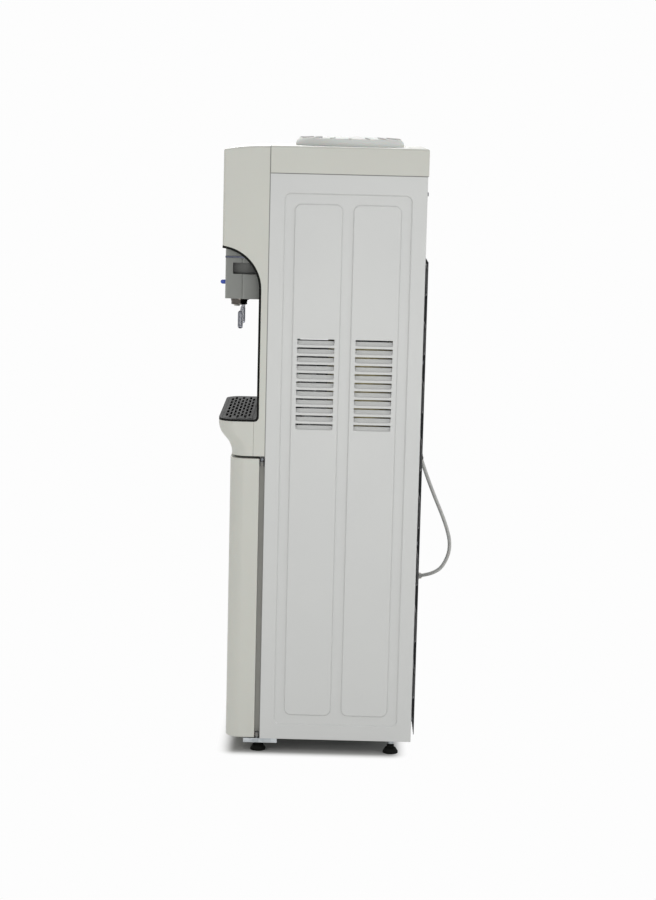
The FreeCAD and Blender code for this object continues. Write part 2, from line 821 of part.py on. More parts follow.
def rear_grip():
    """A moulded carrying grip: a finger cup sunk in the rear panel under a hooded lip."""
    body = new_body("rear_grip")
    plate = rounded(-S.grip_half_width, S.grip_half_width, GRIP_LOW, GRIP_HIGH,
                    as_size(6))
    pad(body, draw(body, "XZ", BACK, plate), S.rear_panel_inset)
    cup = rounded(-GRIP_MOUTH + S.seat_gap, GRIP_MOUTH - S.seat_gap,
                  GRIP_CUP_LOW + S.seat_gap, GRIP_CUP_HIGH - S.seat_gap, as_size(5))
    pad(body, draw(body, "XZ", REAR_OUT, cup), S.grip_depth)
    wall = S.grip_wall
    hollow = rounded(wall - GRIP_MOUTH, GRIP_MOUTH - wall,
                     GRIP_CUP_LOW + wall, GRIP_CUP_HIGH - wall, as_size(3))
    pocket(body, draw(body, "XZ", BACK, hollow), S.rear_panel_inset + S.grip_depth - wall)
    proud = BACK + S.grip_lip_rise
    lip = [
        (BACK - S.rear_panel_inset, GRIP_HIGH - 2), (BACK, GRIP_HIGH - 2),
        (proud, GRIP_HIGH - 10), (proud, GRIP_LIP_LOW),
        (proud - wall, GRIP_LIP_LOW), (proud - wall, GRIP_CUP_HIGH - wall - 2),
        (BACK - S.rear_panel_inset, GRIP_CUP_HIGH - wall),
    ]
    lip = [lip[0]] + lip[:0:-1]
    pad(body, draw(body, "YZ", -GRIP_MOUTH, lip), GRIP_MOUTH * 2)
    return body


def switch_bezel():
    """A flush plastic frame that holds the two rear rocker switches."""
    body = new_body("switch_bezel")
    edge = 3
    plate = rounded(-SWITCH_HALF - edge, SWITCH_HALF + edge, SWITCH_LOW - edge,
                    SWITCH_HIGH + edge, as_size(3))
    pad(body, draw(body, "XZ", BACK, plate), S.rear_panel_inset)
    gap = S.seat_gap
    pad(body, draw(body, "XZ", REAR_OUT, rectangle(
        gap - SWITCH_HALF, SWITCH_HALF - gap, SWITCH_LOW + gap, SWITCH_HIGH - gap)),
        SWITCH_DEPTH)
    wells = []
    for side in (-1, 1):
        x = S.switch_spacing / 2 * side
        wells.append(rectangle(x - ROCKER_HALF - gap, x + ROCKER_HALF + gap,
                               SWITCH_Z - ROCKER_RADIUS - gap,
                               SWITCH_Z + ROCKER_RADIUS + gap))
    pocket(body, draw(body, "XZ", BACK, *wells), S.rear_panel_inset + SWITCH_DEPTH - 2)
    return body


def rocker(label, side):
    """A rocker that turns about a cross pin, modelled with its lower half pressed out."""
    x = S.switch_spacing / 2 * side - ROCKER_HALF
    width = ROCKER_HALF * 2
    disc = cylinder(ROCKER_RADIUS, width, x, ROCKER_Y, SWITCH_Z, "X")
    lean = 16
    cutter = 12
    overlap = 4
    sunk = doc.addObject("Part::Box", "trim")
    sunk.Placement = FreeCAD.Placement(Vector(), Rotation(Vector(1, 0, 0), lean))
    slide = math.radians(lean)
    bind(sunk, Length=width + 2, Width=cutter, Height=cutter + overlap,
         Placement__Base__x=x - 1,
         Placement__Base__y=ROCKER_Y + ROCKER_FACE + overlap * math.sin(slide),
         Placement__Base__z=SWITCH_Z - overlap * math.cos(slide))
    flush = box(x - 1, x + width + 1, ROCKER_Y + ROCKER_FACE, ROCKER_Y + cutter,
                SWITCH_Z - cutter, SWITCH_Z)
    trims = [sunk, flush]
    back = box(x - 1, x + width + 1, ROCKER_Y - 12, ROCKER_Y - 2,
               SWITCH_Z - 12, SWITCH_Z + 12)
    return keep(label, cut(disc, *trims, back))


def bottle_liner():
    """The white lining of the bottle compartment, open to the door."""
    body = new_body("bottle_liner")
    wall = S.liner_wall
    ceiling = SHELF
    flange = HALF - S.return_width
    pad(body, draw(body, "XY", LINER_LOW, rectangle(
        -LINER_HALF, LINER_HALF, FRONT, LINER_BACK)), ceiling - LINER_LOW)
    pad(body, draw(body, "XZ", FRONT, rectangle(
        -flange, flange, LINER_LOW - 6, ceiling)), -wall)
    pocket(body, draw(body, "XY", LINER_LOW + wall, rectangle(
        wall - LINER_HALF, LINER_HALF - wall, FRONT + wall, LINER_BACK - wall)),
        ceiling - LINER_LOW - wall * 2)
    pocket(body, draw(body, "XZ", FRONT, rectangle(
        wall - LINER_HALF, LINER_HALF - wall, LINER_LOW + wall, LINER_MOUTH_TOP)), -wall)
    hole = draw(body, "XY", ceiling)
    add_circle(hole, PROBE_X, PROBE_Y, S.hose_diameter / 2 + 1)
    pocket(body, hole, -wall)
    return body


def flat_shelf(label, level, y0, y1, holes):
    """A steel shelf between the side panels with its front and rear edges turned up."""
    y0, y1 = as_size(y0), as_size(y1)
    plate = box(-INSIDE, INSIDE, y0, y1, level, level + S.base_sheet)
    lips = []
    for y in (y0, y1 - S.base_sheet):
        lips.append(box(-INSIDE, INSIDE, y, y + S.base_sheet,
                        level, level + S.shelf_flange))
    tools = []
    for x, y, radius in holes:
        tools.append(cylinder(radius, 40, x, y, level - 20))
    return keep(label, cut(fuse(plate, *lips), *tools))


def compressor_shelf():
    """The shelf over the bottle compartment, with holes for the probe and the liquid line."""
    holes = [(PROBE_X, PROBE_Y, S.hose_diameter / 2 + 1), (DRIER_X, PIPE_Y, PIPE_HOLE)]
    return flat_shelf("compressor_shelf", SHELF, FRONT + S.sheet_wall,
                      REAR_IN, holes)


def tank_shelf():
    """The shelf under the cold tank, with holes for the pump hose and two pipes."""
    holes = [(PUMP_X, PUMP_Y - PUMP_PORT, S.hose_diameter / 2 + 1),
             (PORT_X, PIPE_Y, PIPE_HOLE), (SUCTION_X, SUCTION_Y, PIPE_HOLE)]
    return flat_shelf("tank_shelf", TANK_SHELF, FRONT + S.sheet_wall,
                      REAR_IN, holes)


def front_bulkhead():
    """The steel sheet that closes the cabinet's front behind the dispensing alcove."""
    flange = HALF - S.return_width
    sheet_part = box(-flange, flange, FRONT, FRONT + S.sheet_wall, SHELF, SEAM)
    holes = []
    for side in (-1, 1):
        holes.append(cylinder(S.hose_diameter / 2 + 1, 20, TAP_X * side, FRONT - 10,
                              HOSE_LEVEL, "Y"))
    return keep("front_bulkhead", cut(sheet_part, *holes))


# ---------------------------------------------------------------- top cover and reservoir
def top_cover():
    """A moulded lid for the cabinet with the round opening of the reservoir."""
    body = new_body("top_cover")
    wide = HALF + S.cover_overhang
    tail = BACK + S.cover_tail
    wall = S.moulding_wall
    pad(body, draw(body, "XY", SEAM, rectangle(-wide, wide, FRONT, tail)), S.cover_height)
    round_edges(body, S.cover_edge_round, lambda edge: near(edge.BoundBox.ZMin, TOP)
                and not near(edge.BoundBox.YMax, FRONT))
    round_edges(body, SEAM_ROUND, lambda edge: near(edge.BoundBox.ZMax, SEAM)
                and not near(edge.BoundBox.YMax, FRONT))
    pocket(body, draw(body, "XY", SEAM, rectangle(
        wall - wide, wide - wall, FRONT + wall, tail - wall)), S.cover_height - wall)
    opening = draw(body, "XY", TOP)
    add_circle(opening, as_size(0), RESERVOIR_Y, S.cover_opening / 2)
    pocket(body, opening, -(wall + 1))
    ledge = draw(body, "XY", TOP - wall)
    add_circle(ledge, as_size(0), RESERVOIR_Y, S.cover_opening / 2 + 8)
    add_circle(ledge, as_size(0), RESERVOIR_Y, S.cover_opening / 2)
    pad(body, ledge, -6)
    return body


def turned(label, profile, x, y, z=0):
    """A body turned about a vertical axis from a profile of (radius, height)."""
    body = new_body(label)
    revolve(body, draw(body, "XZ", 0, profile))
    bind(body, Placement__Base__x=as_size(x), Placement__Base__y=as_size(y),
         Placement__Base__z=as_size(z))
    return body


def water_reservoir():
    """The basin under the cap that feeds both tanks, with a hanging rim and a neck."""
    outer = (S.cover_opening / 2 - S.reservoir_inset)
    rim = S.cover_opening / 2 - S.seat_gap
    wall = S.reservoir_wall
    floor = TOP - S.reservoir_depth
    rim_low = TOP - 4
    neck = as_size(15)
    return turned("water_reservoir", [
        (neck, floor - 6), (neck, floor + wall), (outer - wall - 8, floor + wall),
        (outer - wall, floor + wall + 8), (outer - wall, rim_low), (rim, rim_low),
        (rim, rim_low - wall), (outer, rim_low - wall), (outer, floor + 8),
        (outer - 8, floor), (neck + wall, floor), (neck + wall, floor - 6),
    ][::-1], 0, RESERVOIR_Y)


def reservoir_cap():
    """A translucent lift-off cap: low dome, skirt and radial grip ribs."""
    body = new_body("reservoir_cap")
    edge = (S.cover_opening / 2 + S.cap_overlap)
    wall = S.cap_wall
    shoulder = edge - S.cap_shoulder_inset
    rise = S.cap_shoulder_rise
    crown = S.cap_crown_rise
    curve = as_size(14)
    flat = shoulder - 22
    dome = dome_radius(flat, as_size(2.5))
    under = dome_radius(flat - 0.5, as_size(2.5))
    lip = S.cover_opening / 2 - 1.5
    revolve(body, draw(body, "XZ", 0, [
        (lip - wall, TOP - 3.5), (lip, TOP - 3.5), (lip, TOP), (edge, TOP),
        (edge, TOP + S.cap_skirt, curve), (shoulder, TOP + rise),
        (flat, TOP + crown - 2.5, dome), (as_size(0), TOP + crown),
        (as_size(0), TOP + crown - wall, -under), (flat - 0.5, TOP + crown - wall - 2.5),
        (shoulder - wall, TOP + rise - wall), (edge - wall, TOP + S.cap_skirt),
        (edge - wall, TOP + wall), (lip - wall, TOP + wall),
    ]))
    half = S.cap_rib_width / 2
    rib = pad(body, draw(body, "YZ", -half, [
        (shoulder - 19, TOP + crown - 3.5), (shoulder + 1, TOP + rise - 2),
        (shoulder + 1.5, TOP + rise), (shoulder - 2, TOP + rise + S.cap_rib_height),
        (shoulder - 19, TOP + crown - 1),
    ]), S.cap_rib_width)
    ribs = body.newObject("PartDesign::PolarPattern", "rib_pattern")
    ribs.Originals = [rib]
    ribs.Axis = (origin_plane(body, "Z_Axis"), [""])
    ribs.Angle = 360
    bind(ribs, Occurrences=S.cap_ribs)
    body.Tip = ribs
    bind(body, Placement__Base__y=RESERVOIR_Y)
    return body


# ---------------------------------------------------------------- front mouldings
def arch_height(y, radius):
    """Height of the arch of the given radius at depth y."""
    return ARCH_Z + root(radius * radius - (y - ARCH_Y) * (y - ARCH_Y))


def front_panel():
    """The cream fascia: a curved hood over the alcove with a wing down each side."""
    body = new_body("front_panel")
    wall = S.moulding_wall
    top_back = TOP - S.fascia_back_drop
    top_front = TOP - S.fascia_top_drop
    curve = S.fascia_top_curve

    def side(inset):
        top = [(FRONT, top_back - inset, curve - inset),
               (FASCIA + inset, top_front - inset)]
        arch = [(FASCIA + inset, arch_height(FASCIA + inset, S.arch_radius), -S.arch_radius),
                (WING, ARCH_Z),
                (WING, ALCOVE_FLOOR + S.alcove_corner, -S.alcove_corner)]
        foot = [(WING_FOOT, ALCOVE_FLOOR), (WING_FOOT, WING_LOW),
                (FRONT, WING_LOW)]
        return top + arch + foot

    pad(body, draw(body, "YZ", -HALF, side(as_size(0))), S.cabinet_width)
    shoulder = ARCH_Z.value + S.arch_radius.value + 10
    round_edges(body, S.fascia_edge_round, lambda edge: edge.BoundBox.ZMax > shoulder
                and not near(edge.BoundBox.YMin, FRONT))
    inner = side(wall)
    pocket(body, draw(body, "YZ", wall - HALF, inner), S.cabinet_width - wall * 2)
    return body


def alcove_liner():
    """The black C-shaped lining: arch, back wall and drip rim in one bent band."""
    body = new_body("alcove_liner")
    wall = S.alcove_liner_wall
    corner = S.alcove_corner
    low = ALCOVE_FLOOR
    pad(body, draw(body, "YZ", -HALF, [
        (FASCIA, arch_height(FASCIA, ARCH_IN), -ARCH_IN),
        (ALCOVE_BACK, ARCH_Z),
        (ALCOVE_BACK, low + corner, wall - corner),
        (WING - corner, low + wall), (LIP, low + wall), (LIP, low),
        (WING - corner, low, corner), (WING, low + corner),
        (WING, ARCH_Z, S.arch_radius),
        (FASCIA, arch_height(FASCIA, S.arch_radius)),
    ]), S.cabinet_width)
    round_edges(body, S.lip_corner, lambda edge: is_vertical(edge)
                and near(edge.BoundBox.YMin, LIP))
    pocket(body, draw(body, "XY", low, tray_plan(as_size(0))), wall)
    holes = draw(body, "XZ", WING)
    for side in (-1, 1):
        add_circle(holes, TAP_X * side, HOSE_LEVEL, S.hose_diameter / 2 + 1)
    pocket(body, holes, wall * 2)
    return body


def drip_shelf():
    """The cream shelf under the alcove; its front curls back to meet the door."""
    body = new_body("drip_shelf")
    drop = S.shelf_drop
    low = WING_LOW + 2
    high = ALCOVE_FLOOR - S.shelf_lip
    height = (high - low) / 2
    radius = (drop * drop / 4 + height * height) / drop
    sections = [(WING_LOW, LIP + drop)]
    steps = 4
    for step in range(steps + 1):
        rise = height * step / steps
        inward = radius - root(radius * radius - rise * rise)
        sections.append((low + rise, LIP + drop - inward))
    for step in range(steps, -1, -1):
        rise = height * step / steps
        inward = radius - root(radius * radius - rise * rise)
        if step < steps:
            sections.append((high - rise, LIP + inward))
    sections.append((ALCOVE_FLOOR, LIP))
    sketches = []
    for level, front in sections:
        outline = front_rounded(HALF, front, WING_FOOT, S.shelf_corner)
        sketches.append(draw(body, "XY", level, outline))
    loft(body, sketches, ruled=False)
    wall = S.tray_wall + S.seat_gap
    pocket(body, draw(body, "XY", ALCOVE_FLOOR, tray_plan(-S.seat_gap)),
           -(S.tray_depth + S.seat_gap))
    shell = S.moulding_wall
    pocket(body, draw(body, "XY", WING_LOW, front_rounded(
        HALF - shell, LIP + drop + shell, WING_FOOT - shell, S.shelf_corner - shell)),
        height - wall)
    round_edges(body, SEAM_ROUND, lambda edge: is_vertical(edge)
                and near(edge.BoundBox.YMax, WING_FOOT)
                and edge.BoundBox.XMax > HALF.value - 1)
    return body


def tray_plan(inset):
    """The tray's plan outline, moved inwards: its front corners follow the lip's."""
    half = TRAY_HALF - inset
    front = TRAY_FRONT + inset
    back = TRAY_BACK - inset
    nose = TRAY_NOSE - inset
    tail = TRAY_TAIL - inset
    return [
        (nose - half, front), (half - nose, front, nose),
        (half, front + nose), (half, back - tail, tail),
        (half - tail, back), (tail - half, back, tail),
        (-half, back - tail), (-half, front + nose, nose),
    ]


def drip_tray():
    """A shallow black basin that lifts out of the shelf with the grille on it."""
    body = new_body("drip_tray")
    wall = S.tray_wall
    gap = S.seat_gap
    top = ALCOVE_FLOOR
    low = top - S.tray_depth
    pad(body, draw(body, "XY", low, tray_plan(gap)), S.tray_depth)
    pocket(body, draw(body, "XY", low + wall, tray_plan(gap + wall)), S.tray_depth - wall)
    return body


def drip_grille():
    """The black plate on the tray, with staggered rows of slots that point sideways."""
    body = new_body("drip_grille")
    gap = S.seat_gap
    low = ALCOVE_FLOOR
    top = low + S.alcove_liner_wall + 0.4
    pad(body, draw(body, "XY", low, tray_plan(gap)), top - low)
    rib = S.tray_wall
    pocket(body, draw(body, "XY", low, tray_plan(gap + rib)), top - low - S.grille_thickness)
    length = S.grille_slot_length
    width = S.grille_slot_width
    side_margin = rib * 3
    pitch_x = (TRAY_HALF - side_margin) * 2 / S.grille_columns
    pitch_y = (TRAY_BACK - TRAY_FRONT - rib * 4) / S.grille_rows
    x0 = side_margin - TRAY_HALF + (pitch_x - length) / 2
    y0 = TRAY_FRONT + rib * 2 + (pitch_y - width) / 2
    near_half = (S.grille_rows + 1) / 2
    far_half = (S.grille_rows - 1) / 2
    for x, y, columns, rows in (
            (x0 + pitch_x / 2, y0, S.grille_columns - 1, near_half),
            (x0, y0 + pitch_y, S.grille_columns, far_half)):
        slot = pocket(body, draw(body, "XY", low, rectangle(x, x + length, y, y + width)),
                      top - low + 1)
        slots = body.newObject("PartDesign::LinearPattern", "slot_pattern")
        slots.Originals = [slot]
        slots.Direction = (origin_plane(body, "X_Axis"), [""])
        slots.Mode = "Spacing"
        slots.Direction2 = (origin_plane(body, "Y_Axis"), [""])
        slots.Mode2 = "Spacing"
        bind(slots, Offset=pitch_x, Occurrences=columns, Offset2=pitch_y * 2,
             Occurrences2=rows)
        slots.Spacings2 = [-1.0] * (int(rows.value) - 1)
        body.Tip = slots
    return body


# ---------------------------------------------------------------- tap housing and taps
def tap_housing():
    """The grey moulding under the arch that carries both taps and the push button."""
    body = new_body("tap_housing")
    half = S.housing_half_width
    nose = S.housing_nose_half_width
    wall = S.housing_wall
    low = HOUSING_LOW
    inside_arch = ARCH_IN - S.seat_gap
    step = HOUSING_FRONT + S.housing_nose_depth
    pad(body, draw(body, "YZ", -half, [
        (HOUSING_FRONT, low), (ALCOVE_BACK, low), (ALCOVE_BACK, ARCH_Z),
        (ALCOVE_BACK - S.seat_gap, ARCH_Z, inside_arch),
        (HOUSING_FRONT, arch_height(HOUSING_FRONT, inside_arch)),
    ]), half * 2)
    curve = S.housing_corner

    def beside_nose(side):
        plan = [
            (nose - curve, HOUSING_FRONT - 1), (nose - curve, HOUSING_FRONT, curve),
            (nose, HOUSING_FRONT + curve), (nose, step),
            (half - curve, step, curve),
            (half, step + curve), (half + 1, step + curve), (half + 1, HOUSING_FRONT - 1),
        ]
        return [(point[0] * side, point[1], *[size * side for size in point[2:]])
                for point in plan]

    pocket(body, draw(body, "XY", low - 1, beside_nose(1), beside_nose(-1)),
           S.arch_radius + 30)
    pocket(body, draw(body, "XZ", ALCOVE_BACK, rectangle(
        wall - nose, nose - wall, low + wall, WINDOW_LOW - wall)),
        ALCOVE_BACK - HOUSING_FRONT - wall)
    window = rectangle(HOUSING_FRONT + WINDOW_SETBACK, ALCOVE_BACK - wall * 3,
                       WINDOW_LOW, WINDOW_HIGH)
    for x, depth in ((half, -1), (-half, 1)):
        pocket(body, draw(body, "YZ", x, window), (half - nose + S.window_depth) * depth)
    seats = draw(body, "XY", low - 1)
    studs = draw(body, "XZ", HOUSING_FRONT + 10)
    for side in (-1, 1):
        add_circle(seats, TAP_X * side, TAP_Y, S.valve_diameter / 2)
    add_circle(studs, TAP_X, BUTTON_Z, S.button_diameter / 2 + S.button_fit)
    pocket(body, seats, wall + 2)
    pocket(body, studs, as_size(12))
    return body


def housing_trim(housing):
    """A thin dark blue band round the housing, just under the arch."""
    half = S.housing_half_width + S.trim_proud
    nose = S.housing_nose_half_width + S.trim_proud
    front = HOUSING_FRONT - S.trim_proud
    step = HOUSING_FRONT + S.housing_nose_depth - S.trim_proud
    low = TRIM_LOW
    high = low + S.trim_height
    back = ARCH_Y + root(ARCH_IN * ARCH_IN
                         - (high - ARCH_Z) * (high - ARCH_Z))
    slab = fuse(box(-nose, nose, front, step + 1, low, high),
                box(-half, half, step, back - 0.5, low, high))
    return keep("housing_trim", cut(slab, housing))


def tap_valve(label, side):
    """A valve body standing in the housing with its outlet nozzle below."""
    x = TAP_X * side
    low = HOUSING_LOW
    barrel = cylinder(S.valve_diameter / 2, S.valve_height, x, TAP_Y, low)
    inlet = cylinder(S.hose_diameter / 2, ALCOVE_BACK - TAP_Y - 3, x, TAP_Y, HOSE_LEVEL, "Y")
    nozzle_y = TAP_Y - NOZZLE_SETBACK
    nozzle = cylinder(S.nozzle_diameter / 2, S.nozzle_reach, x, nozzle_y,
                      low - S.nozzle_reach)
    bore = cylinder(S.nozzle_bore / 2, S.nozzle_reach + 4, x, nozzle_y,
                    low - S.nozzle_reach - 1)
    return keep(label, cut(fuse(barrel, inlet, nozzle), bore))


def lever_pin(side):
    """The cross pin of one lever; both its ends sit in the collar's wall."""
    x = TAP_X * side
    half = root((S.collar_mouth / 2) * (S.collar_mouth / 2)
                - S.lever_pin_setback * S.lever_pin_setback) - S.collar_wall / 2
    return cylinder(S.lever_pin_diameter / 2, half * 2, x - half, LEVER_Y, LEVER_Z, "X")


def tap_collars():
    """Two chromed collars under the housing; each hides its lever's pin."""
    rings = []
    for side in (-1, 1):
        x = TAP_X * side
        low = HOUSING_LOW - S.collar_height
        outer = cone(S.collar_mouth / 2, S.collar_diameter / 2, S.collar_height, x, TAP_Y, low)
        inner = cone(S.collar_mouth / 2 - S.collar_wall, S.collar_diameter / 2 - S.collar_wall,
                     S.collar_height, x, TAP_Y, low)
        rings.append(cut(outer, inner, lever_pin(side)))
    return keep("tap_collars", group(*rings))


def lever_pins():
    return keep("lever_pins", group(lever_pin(-1), lever_pin(1)))


def tap_lever(label, side):
    """A hanging lever: pin eye, stem and a rounded paddle for the cup's rim."""
    body = new_body(label)
    x = TAP_X * side
    half = S.lever_stem_width / 2
    knee = LEVER_Z - S.lever_drop
    tip = knee - S.paddle_length
    back = LEVER_Y
    front = back - S.paddle_depth
    wide = S.paddle_width / 2
    corner = wide - 2
    crest = as_size(5)
    pad(body, draw(body, "XZ", back, [
        (x - wide + corner, tip), (x + wide - corner, tip, corner),
        (x + wide, tip + corner), (x + wide, knee - crest, crest), (x + wide - crest, knee),
        (x - wide + crest, knee, crest), (x - wide, knee - crest),
        (x - wide, tip + corner, corner),
    ]), S.paddle_depth)
    round_edges(body, S.paddle_round, lambda edge: edge.BoundBox.YLength < 0.01)
    thick = S.lever_thickness
    pad(body, draw(body, "YZ", x - half, [
        (LEVER_Y - thick / 2, LEVER_Z), (LEVER_Y - thick / 2, LEVER_Z - 8),
        ((front + back - thick) / 2, knee - 6), ((front + back + thick) / 2, knee - 6),
        (LEVER_Y + thick / 2, LEVER_Z - 8), (LEVER_Y + thick / 2, LEVER_Z),
    ]), S.lever_stem_width)
    eye = draw(body, "YZ", x - half)
    add_circle(eye, LEVER_Y, LEVER_Z, S.lever_eye / 2)
    pad(body, eye, S.lever_stem_width)
    bore = draw(body, "YZ", x - half)
    add_circle(bore, LEVER_Y, LEVER_Z, S.lever_pin_diameter / 2 + S.lever_fit)
    pocket(body, bore, S.lever_stem_width)
    return body


def tap_button(label):
    """A domed push button with a stem through the housing and a collar behind it."""
    x = TAP_X
    radius = S.button_diameter / 2
    tip = HOUSING_FRONT - S.button_reach
    stem = cylinder(radius, S.button_reach - radius + S.housing_wall + 2, x, tip + radius,
                    BUTTON_Z, "Y")
    dome = doc.addObject("Part::Sphere", "dome")
    bind(dome, Radius=radius)
    place(dome, x, tip + radius, BUTTON_Z, "Z")
    stop = cylinder(radius + 1.5, 2, x, HOUSING_FRONT + S.housing_wall + S.button_fit * 2,
                    BUTTON_Z, "Y")
    return keep(label, fuse(stem, dome, stop))


# ---------------------------------------------------------------- door and hinges
def door_skin():
    """The cream outer door, a tray with round front corners that is open behind."""
    body = new_body("door_skin")
    wall = S.door_wall
    pad(body, draw(body, "XY", DOOR_LOW, front_rounded(
        DOOR_HALF, DOOR_FRONT, DOOR_BACK, S.door_corner)), S.door_height)
    round_edges(body, as_size(1.5), lambda edge: not is_vertical(edge)
                and not near(edge.BoundBox.YMin, DOOR_BACK))
    pocket(body, draw(body, "XY", DOOR_LOW + wall, front_rounded(
        DOOR_HALF - wall, DOOR_FRONT + wall, DOOR_BACK, S.door_corner - wall)),
        S.door_height - wall * 2)
    return body


def door_inner_panel():
    """The white inner panel, dished to make room for the bottle, with two hinge eyes."""
    body = new_body("door_inner_panel")
    wall = S.liner_wall
    inset = S.door_wall + S.seat_gap
    low = DOOR_LOW
    top = DOOR_TOP
    half = DOOR_HALF - inset
    pad(body, draw(body, "XZ", DOOR_BACK, rectangle(
        -half, half, low + inset, top - inset)), S.door_wall)
    dish = LINER_HALF - S.door_dish_inset
    corner = as_size(10)
    pad(body, draw(body, "XZ", DOOR_BACK, rounded(
        -dish - wall, dish + wall, DISH_LOW - wall, DISH_TOP + wall, corner + wall)),
        S.door_dish_depth)
    pocket(body, draw(body, "XZ", DOOR_BACK, rounded(
        -dish, dish, DISH_LOW, DISH_TOP, corner)), S.door_dish_depth - wall)
    for level in (low + 1.5, HINGE_TOP - S.hinge_hub - S.hinge_eye_height - S.seat_gap):
        eye = draw(body, "XY", level)
        add_circle(eye, HINGE_X, HINGE_Y, S.hinge_eye / 2)
        pad(body, eye, S.hinge_eye_height)
        pad(body, draw(body, "XY", level, rectangle(
            HINGE_X - S.hinge_eye / 2, HINGE_X + 1, DOOR_BACK, HINGE_Y)),
            S.hinge_eye_height)
    bore = draw(body, "XY", low)
    add_circle(bore, HINGE_X, HINGE_Y, S.hinge_pin_diameter / 2 + S.hinge_fit)
    pocket(body, bore, S.door_height)
    return body


def door_gasket():
    """The grey magnetic seal on the back of the door."""
    body = new_body("door_gasket")
    half = LINER_HALF + S.gasket_overlap
    width = S.gasket_width
    low = DOOR_LOW + 1.5
    top = DOOR_TOP - 1.5
    pad(body, draw(body, "XZ", DOOR_BACK,
                   rounded(-half, half, low, top, as_size(6)),
                   rounded(width - half, half - width, low + width, top - width,
                           as_size(3))), -(S.door_gap - S.seat_gap))
    return body


def foot_brackets():
    """Two plates under the cabinet's front; they carry the door pin and front feet."""
    plates = []
    level = BASE - S.bracket_thickness
    outer = HALF - 0.5
    front = FRONT - S.bracket_front
    back = FRONT + S.bracket_back
    plate = box(outer - S.bracket_width, outer, front, back, level, BASE)
    skirt = box(outer - S.bracket_thickness, outer, front, back,
                BASE - S.bracket_drop, BASE)
    foot_hole = cylinder(S.stud_diameter / 2 + S.stud_fit, 40, FOOT_X,
                         FRONT + S.front_foot_setback, 0)
    pin_hole = cylinder(S.hinge_pin_diameter / 2, 40, HINGE_X, HINGE_Y, 0)
    right = cut(fuse(plate, skirt), foot_hole, pin_hole)
    plates.append(right)
    plates.append(mirrored(right))
    return keep("foot_brackets", group(*plates))


def top_hinge_bracket():
    """An angle on the cabinet's front; its hub hangs over the eye and holds the pin."""
    thick = S.bracket_thickness - 0.5
    width = S.hinge_eye + 2
    x0 = HINGE_X - width / 2
    plate = box(x0, HINGE_X + S.hinge_eye / 2, HINGE_Y - S.hinge_eye / 2, FRONT,
                HINGE_TOP, HINGE_TOP + thick)
    leg = box(x0, HINGE_X + 1.4, FRONT - 1.5, FRONT, HINGE_TOP, HINGE_TOP + 24)
    hub = cylinder(S.hinge_eye / 2, S.hinge_hub, HINGE_X, HINGE_Y, HINGE_TOP - S.hinge_hub)
    hole = cylinder(S.hinge_pin_diameter / 2, 40, HINGE_X, HINGE_Y, HINGE_TOP - 20)
    return keep("top_hinge_bracket", cut(fuse(plate, leg, hub), hole))


def hinge_pins():
    length = S.hinge_pin_length
    lower = cylinder(S.hinge_pin_diameter / 2, length, HINGE_X, HINGE_Y,
                     BASE - S.bracket_thickness)
    upper_top = HINGE_TOP + S.bracket_thickness - 0.5
    upper_low = HINGE_TOP - S.hinge_hub - S.hinge_eye_height
    upper = cylinder(S.hinge_pin_diameter / 2, upper_top - upper_low, HINGE_X, HINGE_Y,
                     upper_low)
    return keep("hinge_pins", group(lower, upper))


def levelling_foot(label, x, y):
    """A screwed foot: broad pad, hexagon for the spanner and threaded stud."""
    pad_radius = S.foot_diameter / 2
    base = cylinder(pad_radius, 3, x, y, 0)
    slope = cone(pad_radius, pad_radius - 4, S.foot_height - 3, x, y, 3)
    nut = hexagon(S.foot_nut_radius, S.foot_nut_height, x, y, S.foot_height)
    stud = cylinder(S.stud_diameter / 2, STUD_TOP - S.foot_height, x, y, S.foot_height)
    return keep(label, fuse(base, slope, nut, stud))


# ---------------------------------------------------------------- bent tubes
def bend(before, corner, after, radius):
    """Start, middle and end of the arc that rounds one corner of a route."""
    back = (before - corner).normalize()
    ahead = (after - corner).normalize()
    turn = math.pi - back.getAngle(ahead)
    reach = radius * math.tan(turn / 2)
    split = (back + ahead).normalize()
    centre = corner + split * (radius / math.cos(turn / 2))
    return corner + back * reach, centre - split * radius, corner + ahead * reach


def full_radius(before, corner, after):
    """The largest arc that the two runs beside a corner allow."""
    back = before - corner
    ahead = after - corner
    turn = math.pi - back.getAngle(ahead)
    return 0.45 * min(back.Length, ahead.Length) / math.tan(turn / 2)


def route(points, radii=None):
    """Straight runs joined by tangent arcs of one radius, of a list, or as full as fits."""
    edges = []
    here = points[0]
    for number, (before, corner, after) in enumerate(zip(points, points[1:], points[2:])):
        if radii is None:
            size = full_radius(before, corner, after)
        else:
            size = radii[number] if isinstance(radii, list) else radii
        start, middle, end = bend(before, corner, after, size)
        if (start - here).Length > 1e-4:
            edges.append(Part.LineSegment(here, start).toShape())
        edges.append(Part.Arc(start, middle, end).toShape())
        here = end
    if (points[-1] - here).Length > 1e-4:
        edges.append(Part.LineSegment(here, points[-1]).toShape())
    return Part.Wire(edges)


def swept(wire, radius, sides=10):
    """A many-sided solid along a route, checked against section times length."""
    first = wire.OrderedEdges[0]
    start = first.valueAt(first.FirstParameter)
    ahead = first.tangentAt(first.FirstParameter)
    across = ahead.cross(Vector(0, 0, 1))
    if across.Length < 0.5:
        across = Vector(1, 0, 0)
    across.normalize()
    up = across.cross(ahead)
    corners = []
    for number in range(sides + 1):
        angle = 2 * math.pi * (number % sides + 0.5) / sides
        corners.append(start + across * (radius * math.cos(angle))
                       + up * (radius * math.sin(angle)))
    solid = wire.makePipeShell([Part.makePolygon(corners)], True, False)
    if solid.Volume < 0:
        solid.reverse()
    area = sides / 2 * radius * radius * math.sin(2 * math.pi / sides)
    expected = area * wire.Length
    if abs(solid.Volume / expected - 1) > 0.02:
        raise ValueError("tube volume %.0f, expected %.0f" % (solid.Volume, expected))
    return solid


